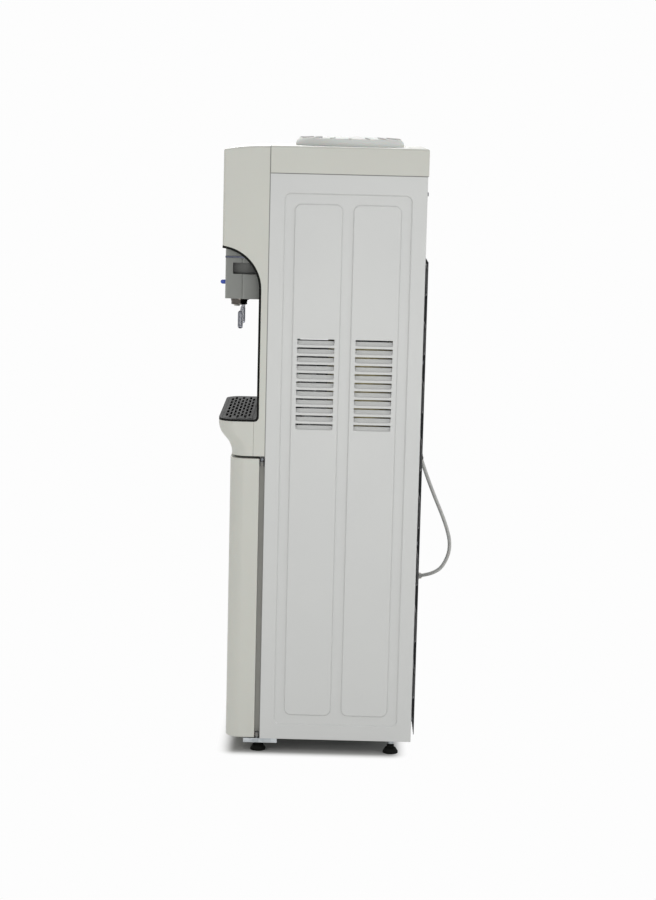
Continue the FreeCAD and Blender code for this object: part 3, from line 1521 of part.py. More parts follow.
def feature(label, shape):
    obj = doc.addObject("Part::Feature", label)
    obj.Shape = shape
    return keep(label, obj)


def points(*triples):
    """Vectors from triples of sizes or numbers."""
    return [Vector(*[as_size(part).value for part in triple]) for triple in triples]


# ---------------------------------------------------------------- condenser on the back
def condenser_ports():
    """Where the condenser's two ends pass through the rear panel, as (x, z)."""
    return [(PORT_X, CONDENSER_TOP), (PORT_X, S.condenser_low)]


def condenser_tube():
    """One steel tube bent to and fro in level runs, both ends led through the panel."""
    turn = CONDENSER_PITCH / 2
    runs = int(S.condenser_runs.value)
    corners = [(PORT_X, REAR_IN - 4, CONDENSER_TOP), (PORT_X, CONDENSER_Y, CONDENSER_TOP)]
    for run in range(runs - 1):
        side = 1 if run % 2 == 0 else -1
        level = CONDENSER_TOP - CONDENSER_PITCH * run
        x = S.condenser_half_width * side
        corners.append((x, CONDENSER_Y, level))
        corners.append((x, CONDENSER_Y, level - CONDENSER_PITCH))
    corners.append((PORT_X, CONDENSER_Y, S.condenser_low))
    corners.append((PORT_X, REAR_IN - 4, S.condenser_low))
    tight = S.condenser_tube_diameter.value
    radii = [tight] + [turn.value] * (len(corners) - 4) + [tight]
    wire = route(points(*corners), radii)
    return feature("condenser_tube", swept(wire, S.condenser_tube_diameter.value / 2, 6))


def condenser_wires():
    """Upright wires welded to both faces of the serpentine."""
    radius = S.wire_diameter / 2
    low = WIRE_LOW
    length = WIRE_HIGH - low
    offset = S.condenser_tube_diameter / 2 + radius
    first = -S.wire_pitch * (S.wire_count - 1) / 2
    wires = []
    for number in range(int(S.wire_count.value)):
        x = first + S.wire_pitch * number
        for side in (-1, 1):
            wires.append(hexagon(radius, length, x, CONDENSER_Y + offset * side, low))
    return keep("condenser_wires", group(*wires))


def condenser_clips():
    """Four plastic stand-offs that hold the outer bends to the rear panel."""
    clips = []
    width = S.condenser_tube_diameter + 4
    for side in (-1, 1):
        for run in (2, int(S.condenser_runs.value) - 3):
            x = (S.condenser_half_width - CONDENSER_PITCH) * side
            level = S.condenser_low + CONDENSER_PITCH * run
            block = box(x - width, x + width, REAR_OUT, CONDENSER_Y, level - width / 2,
                        level + width / 2)
            groove = cylinder(S.condenser_tube_diameter / 2, width * 2, x - width,
                              CONDENSER_Y, level, "X")
            tools = [groove]
            for number in range(int(S.wire_count.value)):
                wire_x = S.wire_pitch * (number - (S.wire_count - 1) / 2)
                if abs(wire_x.value - x.value) < width.value + 1:
                    tools.append(box(wire_x - 1.2, wire_x + 1.2, REAR_OUT + 0.8, CONDENSER_Y,
                                     level - width, level + width))
            clips.append(cut(block, *tools))
    return keep("condenser_clips", group(*clips))


# ---------------------------------------------------------------- cooling and heating
def compressor():
    """A welded two-shell compressor on its foot plate, with its terminal cover."""
    body = new_body("compressor")
    radius = COMPRESSOR_RADIUS
    high = COMPRESSOR_HEIGHT
    seam = high * 0.5
    revolve(body, draw(body, "XZ", 0, [
        (as_size(0), as_size(0)), (radius - 16, as_size(0)),
        (radius, as_size(22)), (radius, seam), (radius + 3, seam),
        (radius + 3, seam + 3.5), (radius, seam + 3.5), (radius, high - 34),
        (radius - 20, high - 6), (as_size(0), high),
    ]))
    foot = COMPRESSOR_FOOT
    pad(body, draw(body, "XY", 0, rounded(-foot, foot, -foot * 0.66, foot * 0.66,
                                          as_size(12))), 3)
    pad(body, draw(body, "XZ", -(radius - 6), rounded(
        as_size(-24), as_size(24), as_size(30), as_size(88), as_size(4))), 26)
    holes = draw(body, "XY", 0)
    for x in (-1, 1):
        for y in (-1, 1):
            add_circle(holes, (foot - 10) * x, (foot * 0.66 - 10) * y, 5.2)
    pocket(body, holes, 3)
    bind(body, Placement__Base__x=COMPRESSOR_X, Placement__Base__y=COMPRESSOR_Y,
         Placement__Base__z=SHELF_TOP + S.grommet_height)
    return body


def compressor_grommets():
    """Four rubber mounts between the shelf and the compressor's foot plate."""
    foot = COMPRESSOR_FOOT
    rubbers = []
    for x in (-1, 1):
        for y in (-1, 1):
            at_x = COMPRESSOR_X + (foot - 10) * x
            at_y = COMPRESSOR_Y + (foot * 0.66 - 10) * y
            rubbers.append(fuse(
                cylinder(9, S.grommet_height, at_x, at_y, SHELF_TOP),
                cylinder(5, S.grommet_height + 5, at_x, at_y, SHELF_TOP)))
    return keep("compressor_grommets", group(*rubbers))


def tank(label, radius, height, x, y, low):
    """A stainless tank with two slightly domed ends."""
    rise = radius * S.tank_dome
    dome = dome_radius(radius, rise)
    return turned(label, [
        (as_size(0), as_size(0), dome), (radius, rise),
        (radius, height - rise, dome), (as_size(0), height),
    ], x, y, low)


def sleeve(label, inner, outer, x, y, low, high, floor=None):
    """An insulating tube, closed below where a floor thickness is given."""
    if floor is None:
        profile = [(inner, low), (outer, low), (outer, high), (inner, high)]
    else:
        neck = as_size(9)
        profile = [(neck, low), (outer, low), (outer, high), (inner, high),
                   (inner, low + floor), (neck, low + floor)]
    return turned(label, profile, x, y)


def water_pump():
    """A small diaphragm pump on the shelf: motor can, head and two ports."""
    level = SHELF_TOP + 4
    radius = S.pump_radius
    motor = cylinder(radius, 66, PUMP_X - 66, PUMP_Y, level + radius, "X")
    head = box(PUMP_X - 14, PUMP_X + 14, PUMP_Y - 22, PUMP_Y + 22, level, PUMP_TOP)
    base = box(PUMP_X - 60, PUMP_X + 14, PUMP_Y - 15, PUMP_Y + 15, SHELF_TOP, level + 3)
    ports = []
    for side in (-1, 1):
        ports.append(cylinder(S.hose_diameter / 2, PUMP_STUB, PUMP_X,
                              PUMP_Y + PUMP_PORT * side, PUMP_TOP))
    return keep("water_pump", fuse(motor, head, base, *ports))


def suction_probe():
    """The dip tube that goes into the bottle, parked upright behind the bottle."""
    tube = cylinder(S.hose_diameter / 2, SHELF - S.liner_wall - PROBE_LOW,
                    PROBE_X, PROBE_Y, PROBE_LOW)
    grip = cylinder(S.hose_diameter / 2 + 2.5, 36, PROBE_X, PROBE_Y, SHELF - 56)
    return keep("suction_probe", fuse(tube, grip))


def hose(corners, radius):
    return swept(route(points(*corners), radius), S.hose_diameter.value / 2, 8)


def on_wall(centre_y, radius, toward_x, toward_y):
    """The point just outside an upright round wall, nearest to another point."""
    aim = Vector(as_size(toward_x).value, (toward_y - centre_y).value, 0).normalize()
    reach = (radius + S.seat_gap).value
    return aim.x * reach, centre_y.value + aim.y * reach


def pump_hoses():
    """Silicone hoses from the probe to the pump and from the pump to the reservoir."""
    port = PUMP_TOP + PUMP_STUB
    over = HOT_LOW + HOT_HEIGHT + 11.5
    low = SHELF - S.liner_wall
    suction = hose([
        (PROBE_X, PROBE_Y, low), (PROBE_X, PROBE_Y, over),
        (PUMP_X, PUMP_Y + PUMP_PORT, over), (PUMP_X, PUMP_Y + PUMP_PORT, port),
    ], 16)
    front = PUMP_Y - PUMP_PORT
    rise = TOP - S.reservoir_depth / 2
    x, y = on_wall(RESERVOIR_Y, (S.cover_opening / 2 - S.reservoir_inset), PUMP_X, front)
    delivery = hose([
        (PUMP_X, front, port), (PUMP_X, front, rise), (x, y, rise),
    ], 18)
    return feature("pump_hoses", Part.makeCompound([suction, delivery]))


def tap_hoses():
    """Silicone hoses from the cold tank and up from the hot tank to the two valves."""
    start_y = ALCOVE_BACK - 3
    level = HOSE_LEVEL + 42
    x, y = on_wall(RESERVOIR_Y, COLD_OUTER, TAP_X - 6, FRONT + 22)
    cold = hose([
        (TAP_X, start_y, HOSE_LEVEL), (TAP_X, FRONT + 18, HOSE_LEVEL),
        (TAP_X - 6, FRONT + 22, level), (x, y, level),
    ], 9)
    x, y = on_wall(RESERVOIR_Y, COLD_OUTER, -TAP_X - 4, FRONT + 20)
    hot = hose([
        (-TAP_X, start_y, HOSE_LEVEL), (-TAP_X, FRONT + 18, HOSE_LEVEL),
        (-TAP_X - 4, FRONT + 20, level), (x, y, level),
    ], 9)
    return feature("tap_hoses", Part.makeCompound([cold, hot]))


def refrigerant_lines():
    """Copper discharge, liquid and suction lines, and the filter drier on its end."""
    thin = S.condenser_tube_diameter.value / 2
    crown = SHELF_TOP + S.grommet_height + COMPRESSOR_HEIGHT * 0.7
    reach = COMPRESSOR_RADIUS + S.seat_gap
    discharge = route(points(
        (PORT_X, COMPRESSOR_Y + reach, crown), (PORT_X, PIPE_Y, crown),
        (PORT_X, PIPE_Y, CONDENSER_TOP), (PORT_X, REAR_IN - 4, CONDENSER_TOP)), 6)
    low = SHELF_TOP + 30
    liquid = route(points(
        (PORT_X, REAR_IN - 4, S.condenser_low), (PORT_X, PIPE_Y, S.condenser_low),
        (PORT_X, PIPE_Y, low - 130), (DRIER_X, PIPE_Y, low - 80), (DRIER_X, PIPE_Y, low)), 6)
    level = TANK_SHELF + 42
    x, y = on_wall(RESERVOIR_Y, COLD_OUTER, SUCTION_X, SUCTION_Y)
    side = COMPRESSOR_X - reach
    suction = route(points(
        (side, COMPRESSOR_Y, crown - 20), (SUCTION_X, COMPRESSOR_Y, crown - 20),
        (SUCTION_X, SUCTION_Y, crown - 20), (SUCTION_X, SUCTION_Y, level), (x, y, level)), 6)
    base = points((DRIER_X, PIPE_Y, low))[0]
    drier = Part.makeCylinder(7, 80, base, Vector(0, 0, 1))
    lines = [swept(wire, thin, 8) for wire in (discharge, liquid, suction)]
    return feature("refrigerant_lines", Part.makeCompound(lines + [drier]))


# ---------------------------------------------------------------- mains lead
def gland_axis():
    """Elbow, tip and direction of the strain relief under the rear panel's middle."""
    elbow = points((GLAND_X, REAR_OUT + 9, S.gland_height))[0]
    ahead = Vector(0, 0.33, -0.944).normalize()
    return elbow, elbow + ahead * 23, ahead


def cord_gland():
    """A moulded elbow strain relief: flange, stub, knuckle and tapered sleeve."""
    elbow, tip, ahead = gland_axis()
    wall = points((GLAND_X, REAR_OUT, elbow.z))[0]
    out = Vector(0, 1, 0)
    bore = GLAND_HOLE.value - 0.1
    flange = Part.makeCylinder(S.gland_flange_radius.value, 2, wall, out)
    stub = Part.makeCylinder(bore, 3 + S.sheet_wall.value,
                             wall - out * (2 + S.sheet_wall.value), out)
    neck = Part.makeCylinder(bore, elbow.y - wall.y, wall, out)
    knuckle = Part.makeSphere(bore, elbow)
    taper = Part.makeCone(bore, S.cord_diameter.value / 2 + 1, (tip - elbow).Length,
                          elbow, ahead)
    shape = flange.fuse([stub, neck, knuckle, taper]).removeSplitter()
    return feature("cord_gland", shape)


def clip_ends():
    """Where the lead enters and leaves the clip, behind the rear left corner."""
    return points((16 - HALF, BACK + 24.5, 267.5), (-HALF - 3, BACK + 11, 261))


def cord_route():
    """The free lead from the strain relief to the coil on the floor, chosen by hand."""
    elbow, tip, ahead = gland_axis()
    radius = S.cord_diameter / 2
    start = coil_start()
    loop = points((28 - HALF, BACK + 67.5, 368), (26 - HALF, BACK + 77, 324),
                  (25 - HALF, BACK + 63.5, 288), (24 - HALF, BACK + 45.5, 274.5))
    side = points((-HALF - 23, BACK + 4.5, 250), (-HALF - 35, BACK - 4.5, 231),
                  (-HALF - 38, BACK - 18.5, 206), (-HALF - 36, BACK - 25.5, 156),
                  (-HALF - 17, BACK - 29.5, 68))
    floor = points((start.x - 2, BACK - 40.5, 27), (start.x, start.y + 41, radius + 3),
                   (start.x, start.y + 19, radius))
    return [tip, tip + ahead * 48] + loop + clip_ends() + side + floor + [start]


def coil_start():
    """Where the lead joins the outer turn of the coil, one diameter before the turn."""
    return points((COIL_X + S.coil_outer_radius, S.coil_y + S.cord_diameter,
                   S.cord_diameter / 2))[0]


def half_turn(centre, radius, side):
    """A level half circle, clockwise from above, starting on the side +1 or -1."""
    start = centre + Vector(radius * side, 0, 0)
    middle = centre + Vector(0, -radius * side, 0)
    end = centre - Vector(radius * side, 0, 0)
    return Part.Arc(start, middle, end).toShape(), end


def biarc(start, ahead, end, away):
    """Two arcs that leave start along ahead and reach end along away."""
    span = end - start
    both = ahead + away
    spread = 2 * (1 - ahead.dot(away))
    along = span.dot(both)
    reach = (-along + math.sqrt(along * along + spread * span.dot(span))) / spread
    first = start + ahead * reach
    second = end - away * reach
    middle = (first + second) / 2
    arcs = []
    for before, corner, after in ((start, first, middle), (middle, second, end)):
        turn = (corner - before).getAngle(after - corner)
        radius = (corner - before).Length / math.tan(turn / 2)
        low, centre, high = bend(before, corner, after, radius)
        arcs.append(Part.Arc(before, centre, after).toShape())
    return arcs


def coil_wire():
    """A two-layer coil: spirals in on the floor, climbs, and spirals out again."""
    pitch = S.coil_pitch.value
    step = pitch / 2
    level = S.cord_diameter.value / 2
    centre = points((COIL_X, S.coil_y, S.cord_diameter / 2))[0]
    radius = S.coil_outer_radius.value
    start = coil_start()
    here = centre + Vector(radius, 0, 0)
    edges = [Part.LineSegment(start, here).toShape()]
    side = 1
    for turn in range(4):
        arc, here = half_turn(here - Vector(radius * side, 0, 0), radius, side)
        edges.append(arc)
        radius -= step
        side = -side
    south = here + Vector(-radius, -radius, step)
    slope = Vector(-1, 0, 2 * step / (math.pi * radius / 2)).normalize()
    top = here + Vector(-2 * radius, 0, pitch)
    edges += biarc(here, Vector(0, -1, 0), south, slope)
    edges += biarc(south, slope, top, Vector(0, 1, 0))
    here = top
    side = -side
    for turn in range(4):
        radius += step
        arc, here = half_turn(here - Vector(radius * side, 0, 0), radius, side)
        edges.append(arc)
        side = -side
    end = here + Vector(0, S.coil_tail.value, 0)
    edges.append(Part.LineSegment(here, end).toShape())
    return Part.Wire(edges), end


def least_gap(wire, diameter):
    """Smallest space between two stretches of a wound tube, measured on points."""
    samples = []
    travelled = 0
    step = 2.0
    for edge in wire.OrderedEdges:
        count = max(2, int(edge.Length / step))
        span = edge.LastParameter - edge.FirstParameter
        for number in range(count):
            samples.append((travelled + edge.Length * number / count,
                            edge.valueAt(edge.FirstParameter + span * number / count)))
        travelled += edge.Length
    best = 1e9
    for index, (at, spot) in enumerate(samples):
        for other_at, other in samples[index + 1:]:
            if other_at - at > diameter * 4:
                best = min(best, spot.distanceToPoint(other))
    return best - diameter


def mains_lead():
    """The free lead and the wound rest of it, 1.8 m in all."""
    radius = S.cord_diameter.value / 2
    free = route(cord_route())
    tube = feature("cord_tube", swept(free, radius))
    wound, end = coil_wire()
    coil = feature("cord_coil", swept(wound, radius))
    print("coil gap %.2f mm" % least_gap(wound, S.cord_diameter.value))
    print("lead length %.0f + %.0f mm" % (free.Length, wound.Length))
    return end


def mains_plug(tail):
    """A moulded two-pin plug lying on the floor beside the coil."""
    radius = S.cord_diameter.value / 2
    x, y, z = tail.x, tail.y, tail.z
    out = Vector(0, 1, 0)
    neck_length = 22
    width = 26
    length = 34
    neck = Part.makeCone(radius + 1, radius + 4, neck_length, tail, out)
    blank = Part.makeBox(width, length, z * 2,
                         Vector(x - width / 2, y + neck_length - 2, 0))
    edges = []
    for edge in blank.Edges:
        box_of = edge.BoundBox
        if box_of.ZLength > 1 or (box_of.YLength > 1 and box_of.ZMin > 1):
            edges.append(edge)
    shell = blank.makeFillet(4, edges)
    pins = []
    for side in (-1, 1):
        pins.append(Part.makeCylinder(2.0, 19, Vector(x + 9.5 * side, y + 53, z), out))
    return feature("mains_plug", shell.fuse([neck] + pins).removeSplitter())


def cord_clip():
    """A moulded ring on a foot at the rear corner; the lead passes through it."""
    entry, leave = clip_ends()
    middle = (entry + leave) / 2
    ahead = (leave - entry).normalize()
    width = 8
    inner = S.cord_diameter.value / 2 + 0.5
    wall = BACK.value
    ring = Part.makeCylinder(inner + 2.2, width, middle - ahead * (width / 2), ahead)
    stem = Part.makeBox(width - 1, middle.y - inner - wall, width,
                        Vector(middle.x - width / 2, wall, middle.z - width / 2))
    foot = Part.makeBox(width + 3, 2, width * 3,
                        Vector(middle.x - width / 2 - 1, wall, middle.z - width * 1.5))
    bore = Part.makeCylinder(inner, width * 3, middle - ahead * (width * 1.5), ahead)
    return feature("cord_clip", foot.fuse([stem, ring]).cut(bore).removeSplitter())


def rear_screws():
    """Hexagon-head screws that hold the rear panel to the side panels."""
    screws = []
    x = HALF - S.return_width / 2
    for side in (-1, 1):
        for share in (0.04, 0.36, 0.68, 0.97):
            z = BASE + S.panel_height * share
            head = hexagon(SCREW_HEAD, 1.8, x * side, BACK, z, "Y")
            shank = cylinder(SCREW_SHANK, 6, x * side, BACK - 5.5, z, "Y")
            screws.append(fuse(head, shank))
    return keep("rear_screws", group(*screws))


# ---------------------------------------------------------------- the whole cooler
def build():
    right = right_side_panel()
    keep("left_side_panel", mirrored(right))
    base_plate()
    rear_panel()
    rear_grip()
    switch_bezel()
    rocker("cooling_switch", 1)
    rocker("heating_switch", -1)
    bottle_liner()
    compressor_shelf()
    tank_shelf()
    front_bulkhead()
    top_cover()
    water_reservoir()
    reservoir_cap()
    front_panel()
    alcove_liner()
    drip_shelf()
    drip_tray()
    drip_grille()
    housing = tap_housing()
    housing_trim(housing)
    for label, side in (("cold", 1), ("hot", -1)):
        tap_valve(label + "_tap_valve", side)
        tap_lever(label + "_tap_lever", side)
    tap_button("push_button")
    tap_collars()
    lever_pins()
    door_skin()
    door_inner_panel()
    door_gasket()
    foot_brackets()
    top_hinge_bracket()
    hinge_pins()
    for label, side in (("right", 1), ("left", -1)):
        levelling_foot("front_%s_foot" % label, FOOT_X * side, FRONT + S.front_foot_setback)
        levelling_foot("rear_%s_foot" % label, FOOT_X * side, BACK - S.rear_foot_inset)
    condenser_tube()
    condenser_wires()
    condenser_clips()
    compressor()
    compressor_grommets()
    tank("hot_tank", HOT_RADIUS, HOT_HEIGHT, HOT_X, HOT_Y, HOT_LOW)
    sleeve("hot_tank_jacket", HOT_RADIUS + 0.3, HOT_RADIUS + S.hot_jacket_wall,
           HOT_X, HOT_Y, SHELF_TOP, HOT_LOW + HOT_HEIGHT - 14)
    tank("cold_tank", S.cold_tank_radius, COLD_HEIGHT, as_size(0), RESERVOIR_Y,
         COLD_LOW)
    sleeve("cold_tank_foam", S.cold_tank_radius + 0.3, COLD_OUTER, as_size(0), RESERVOIR_Y,
           TANK_SHELF_TOP, COLD_LOW + COLD_HEIGHT - 12, S.cold_foam_wall - 0.3)
    water_pump()
    suction_probe()
    pump_hoses()
    tap_hoses()
    refrigerant_lines()
    cord_gland()
    tail = mains_lead()
    mains_plug(tail)
    cord_clip()
    rear_screws()


def check_and_export():
    doc.recompute()
    problems = []
    for obj in doc.Objects:
        if "Invalid" in obj.State or "Error" in obj.State:
            problems.append("%s (%s): %s" % (obj.Name, obj.Label, obj.State))
        if obj.TypeId in ("PartDesign::Pocket", "PartDesign::Groove"):
            base = obj.BaseFeature
            if base is not None and obj.Shape.Volume > base.Shape.Volume - 0.01:
                problems.append("%s cuts nothing" % obj.Name)
    for label, obj in PARTS.items():
        shape = obj.Shape
        if shape.isNull() or not shape.isValid() or not shape.Solids:
            problems.append("%s has no valid solid" % label)
    if problems:
        raise RuntimeError("\n".join(problems))
    os.makedirs("parts", exist_ok=True)
    for label, obj in PARTS.items():
        obj.Shape.exportStep("parts/%s.step" % label)
    print("%d sub-parts" % len(PARTS))


build()
check_and_export()
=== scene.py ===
"""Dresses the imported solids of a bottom-load water cooler for its studio portrait.

The solids keep their shapes and places. Each one gets the finish of the real
material, the mains lead and its fittings are modelled here as the flexible and
moulded pieces that they are, and the studio repeats the portrait's viewpoint.
All lengths are in metres, in the solids' own frame: front -Y, right +X, up +Z.
"""
import enum
import json
import logging
import math
from dataclasses import dataclass, field
from typing import Any

import bpy
from mathutils import Matrix, Vector


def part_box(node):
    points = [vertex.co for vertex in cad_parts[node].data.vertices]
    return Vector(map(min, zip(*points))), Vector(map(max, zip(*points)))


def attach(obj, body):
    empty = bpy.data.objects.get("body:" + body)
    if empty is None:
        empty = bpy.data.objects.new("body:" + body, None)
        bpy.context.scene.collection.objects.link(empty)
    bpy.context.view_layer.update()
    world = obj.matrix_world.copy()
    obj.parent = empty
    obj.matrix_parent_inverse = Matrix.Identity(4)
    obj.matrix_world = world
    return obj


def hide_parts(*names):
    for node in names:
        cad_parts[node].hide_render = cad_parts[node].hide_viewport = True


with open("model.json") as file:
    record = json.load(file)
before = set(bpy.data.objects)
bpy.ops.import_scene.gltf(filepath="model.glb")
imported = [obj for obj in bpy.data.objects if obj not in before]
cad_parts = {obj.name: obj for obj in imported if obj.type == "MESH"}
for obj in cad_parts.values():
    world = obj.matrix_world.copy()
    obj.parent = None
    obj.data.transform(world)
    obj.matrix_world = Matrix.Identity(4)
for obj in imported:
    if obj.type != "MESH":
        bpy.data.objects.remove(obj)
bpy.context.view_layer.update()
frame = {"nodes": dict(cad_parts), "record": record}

MM = 0.001
LOG = logging.getLogger("cooler")

Tree = bpy.types.NodeTree
Socket = bpy.types.NodeSocket
Piece = bpy.types.Object
Triple = tuple[float, float, float]
Rings = tuple[tuple[float, float], ...]


def linear(code: str) -> tuple[float, float, float, float]:
    """Turns an sRGB hex colour into Blender's linear values.

    Args:
        code: six hex digits, such as "C6C7C5".

    Returns:
        Red, green, blue and an alpha of 1.
    """
    out = []
    for start in (0, 2, 4):
        value = int(code[start:start + 2], 16) / 255
        out.append(value / 12.92 if value <= 0.04045 else ((value + 0.055) / 1.055) ** 2.4)
    return out[0], out[1], out[2], 1.0


def add_node(tree: Tree, kind: str, inputs: dict[Any, Any] | None = None,
             **settings: Any) -> bpy.types.Node:
    """Adds one node with its settings, its socket values and its links.

    Args:
        tree: the material's or world's node tree.
        kind: the node's type name.
        inputs: socket name or number to a value, or to the output that feeds it.
        **settings: the node's own properties.

    Returns:
        The new node.
    """
    made = tree.nodes.new(kind)
    for name, value in settings.items():
        setattr(made, name, value)
    for socket, value in (inputs or {}).items():
        if isinstance(value, Socket):
            tree.links.new(value, made.inputs[socket])
        else:
            made.inputs[socket].default_value = value
    return made


class Grain(enum.Enum):
    """How a surface was made, which sets its relief."""

    ORANGE_PEEL = "sprayed or powder coated, with a rounded swell"
    SPARK = "moulded against a spark-eroded tool, with a fine matt grain"
    ROLLED = "rolled and brushed metal, with lines along its height"
    SPANGLE = "hot-dip galvanised, with crystals"
    CELLS = "foamed in place, with open cells on its skin"


class PaintedShade:
    """Painted shade: how much darker the colour is made in corners, seams and gaps where
    shade falls.

    CLOSED and OPEN are shares of open surroundings: at the first a corner has its
    full painted shade, at the second it has none. A seam's painted shadow is darkest in
    its core.
    """

    CLOSED = 0.30
    OPEN = 0.80
    CREVICE_SHADE = 0.15
    LUG_SHADE = 0.2
    SEAM_SHADE = 0.42
    SEAM_HALF_WIDTH = 0.0011
    SEAM_CORE = 0.6

    @staticmethod
    def seam(tree: Tree, along: Socket, level: float) -> Socket:
        """Builds the painted shadow of one open seam between two pieces of the casing.

        Args:
            tree: the material's node tree.
            along: the coordinate that the seam's plane cuts.
            level: the plane's place on it.

        Returns:
            The socket that gives the seam's painted shadow close to the plane, and 1 away
            from it.
        """
        away = add_node(tree, "ShaderNodeMath", {0: along, 1: level}, operation="SUBTRACT")
        away = add_node(tree, "ShaderNodeMath", {0: away.outputs[0]}, operation="ABSOLUTE")
        return add_node(tree, "ShaderNodeMapRange",
                        {"Value": away.outputs[0],
                         "From Min": PaintedShade.SEAM_HALF_WIDTH * PaintedShade.SEAM_CORE,
                         "From Max": PaintedShade.SEAM_HALF_WIDTH, "To Min": PaintedShade.SEAM_SHADE,
                         "To Max": 1.0}).outputs[0]


@dataclass(frozen=True)
class Finish:
    """One real material and how its surface was made; names in _mm are millimetres.

    Colour and tint are the two ends of its unevenness, swing is how far the
    roughness strays, under_skin is the share of light that passes below the surface,
    and crevice_mm is the reach of the painted shade in inner corners, none where it is 0.
    Seamed finishes get painted shadow lines along the casing's seams. Where lugs_from
    isn't 0, what lies further out than that, in metres, gets painted shade for the
    hinge lugs in the door's gap.
    """

    LINE_STRETCH = 0.03
    LINE_DETAIL = 3.0
    SWELL_DETAIL = 1.5
    SPARK_DETAIL = 6.0
    MOTTLE_DETAIL = 4.0
    NOISE_ROUGHNESS = 0.55
    GLOSSIEST = 0.03
    SKIN_DEPTH = 0.004
    CORNER_SAMPLES = 4

    name: str
    colour: str
    tint: str
    grain: Grain
    grain_mm: float
    relief_mm: float
    roughness: float
    swing: float = 0.06
    mottle_mm: float = 60.0
    metallic: float = 0.0
    ior: float = 1.5
    coat: float = 0.0
    specular: float = 0.5
    clear: float = 0.0
    under_skin: float = 0.0
    edge_mm: float = 0.6
    crevice_mm: float = 0.0
    paints_seam_shadows: bool = False
    lugs_from: float = 0.0

    def height(self, tree: Tree, place: Socket) -> Socket:
        """Builds the relief's height.

        Args:
            tree: the material's node tree.
            place: Object coordinates.

        Returns:
            The socket that gives a height from 0 to 1.
        """
        scale = 1 / (self.grain_mm * MM)
        if self.grain is Grain.ROLLED:
            along = add_node(tree, "ShaderNodeMapping",
                             {"Vector": place, "Scale": (1, 1, self.LINE_STRETCH)})
            return add_node(tree, "ShaderNodeTexNoise",
                            {"Vector": along.outputs[0], "Scale": scale,
                             "Detail": self.LINE_DETAIL}).outputs[0]
        if self.grain in (Grain.SPANGLE, Grain.CELLS):
            return add_node(tree, "ShaderNodeTexVoronoi",
                            {"Vector": place, "Scale": scale},
                            feature="SMOOTH_F1").outputs["Distance"]
        peel = self.grain is Grain.ORANGE_PEEL
        detail = self.SWELL_DETAIL if peel else self.SPARK_DETAIL
        return add_node(tree, "ShaderNodeTexNoise",
                        {"Vector": place, "Scale": scale, "Detail": detail,
                         "Roughness": self.NOISE_ROUGHNESS}).outputs[0]

    def mottle(self, tree: Tree, place: Socket) -> Socket:
        """Builds the slow unevenness of colour and gloss.

        Args:
            tree: the material's node tree.
            place: Object coordinates.

        Returns:
            The socket that gives the unevenness from 0 to 1.
        """
        scale = 1 / (self.mottle_mm * MM)
        if self.grain is Grain.SPANGLE:
            cells = add_node(tree, "ShaderNodeTexVoronoi",
                             {"Vector": place, "Scale": scale})
            return add_node(tree, "ShaderNodeSeparateColor",
                            {"Color": cells.outputs["Color"]}).outputs[0]
        return add_node(tree, "ShaderNodeTexNoise",
                        {"Vector": place, "Scale": scale,
                         "Detail": self.MOTTLE_DETAIL}).outputs[0]

    def with_painted_shade(self, tree: Tree, place: Socket, paint: Socket) -> Socket:
        """Paints shade into the colour in inner corners and along the open seams of the
        casing.

        Args:
            tree: the material's node tree.
            place: Object coordinates.
            paint: the colour before its painted shade.

        Returns:
            The socket that gives the colour with its painted shade.
        """
        # Painted shade: the colour darkens where little of the surroundings is open.
        open_share = add_node(tree, "ShaderNodeAmbientOcclusion",
                              {"Distance": self.crevice_mm * MM},
                              samples=self.CORNER_SAMPLES).outputs["AO"]
        unshaded = add_node(tree, "ShaderNodeMapRange",
                         {"Value": open_share, "From Min": PaintedShade.CLOSED,
                          "From Max": PaintedShade.OPEN, "To Min": PaintedShade.CREVICE_SHADE,
                          "To Max": 1.0}).outputs[0]
        if self.paints_seam_shadows:
            unshaded = self.seams(tree, place, unshaded)
        if self.lugs_from:
            unshaded = self.lugs(tree, place, unshaded)
        return add_node(tree, "ShaderNodeVectorMath", {0: paint, 1: unshaded},
                        operation="MULTIPLY").outputs[0]

    def lugs(self, tree: Tree, place: Socket, unshaded: Socket) -> Socket:
        """Paints shade on the hinge lugs at the outer front corners of the door's panel,
        which stand in the door's gap.

        Args:
            tree: the material's node tree.
            place: Object coordinates.
            unshaded: the share of the colour that shows elsewhere.

        Returns:
            The socket that gives the share of the colour that shows.
        """
        axes = add_node(tree, "ShaderNodeSeparateXYZ", {0: place})
        out = add_node(tree, "ShaderNodeMath", {0: axes.outputs[0]}, operation="ABSOLUTE")
        lug = add_node(tree, "ShaderNodeMapRange",
                       {"Value": out.outputs[0], "From Min": self.lugs_from,
                        "From Max": self.lugs_from + MM, "To Min": 1.0,
                        "To Max": PaintedShade.LUG_SHADE})
        behind = add_node(tree, "ShaderNodeMath", {0: axes.outputs[1], 1: 0.0},
                          operation="GREATER_THAN")
        lug = add_node(tree, "ShaderNodeMath", {0: lug.outputs[0], 1: behind.outputs[0]},
                       operation="MAXIMUM")
        return add_node(tree, "ShaderNodeMath", {0: unshaded, 1: lug.outputs[0]},
                        operation="MINIMUM").outputs[0]

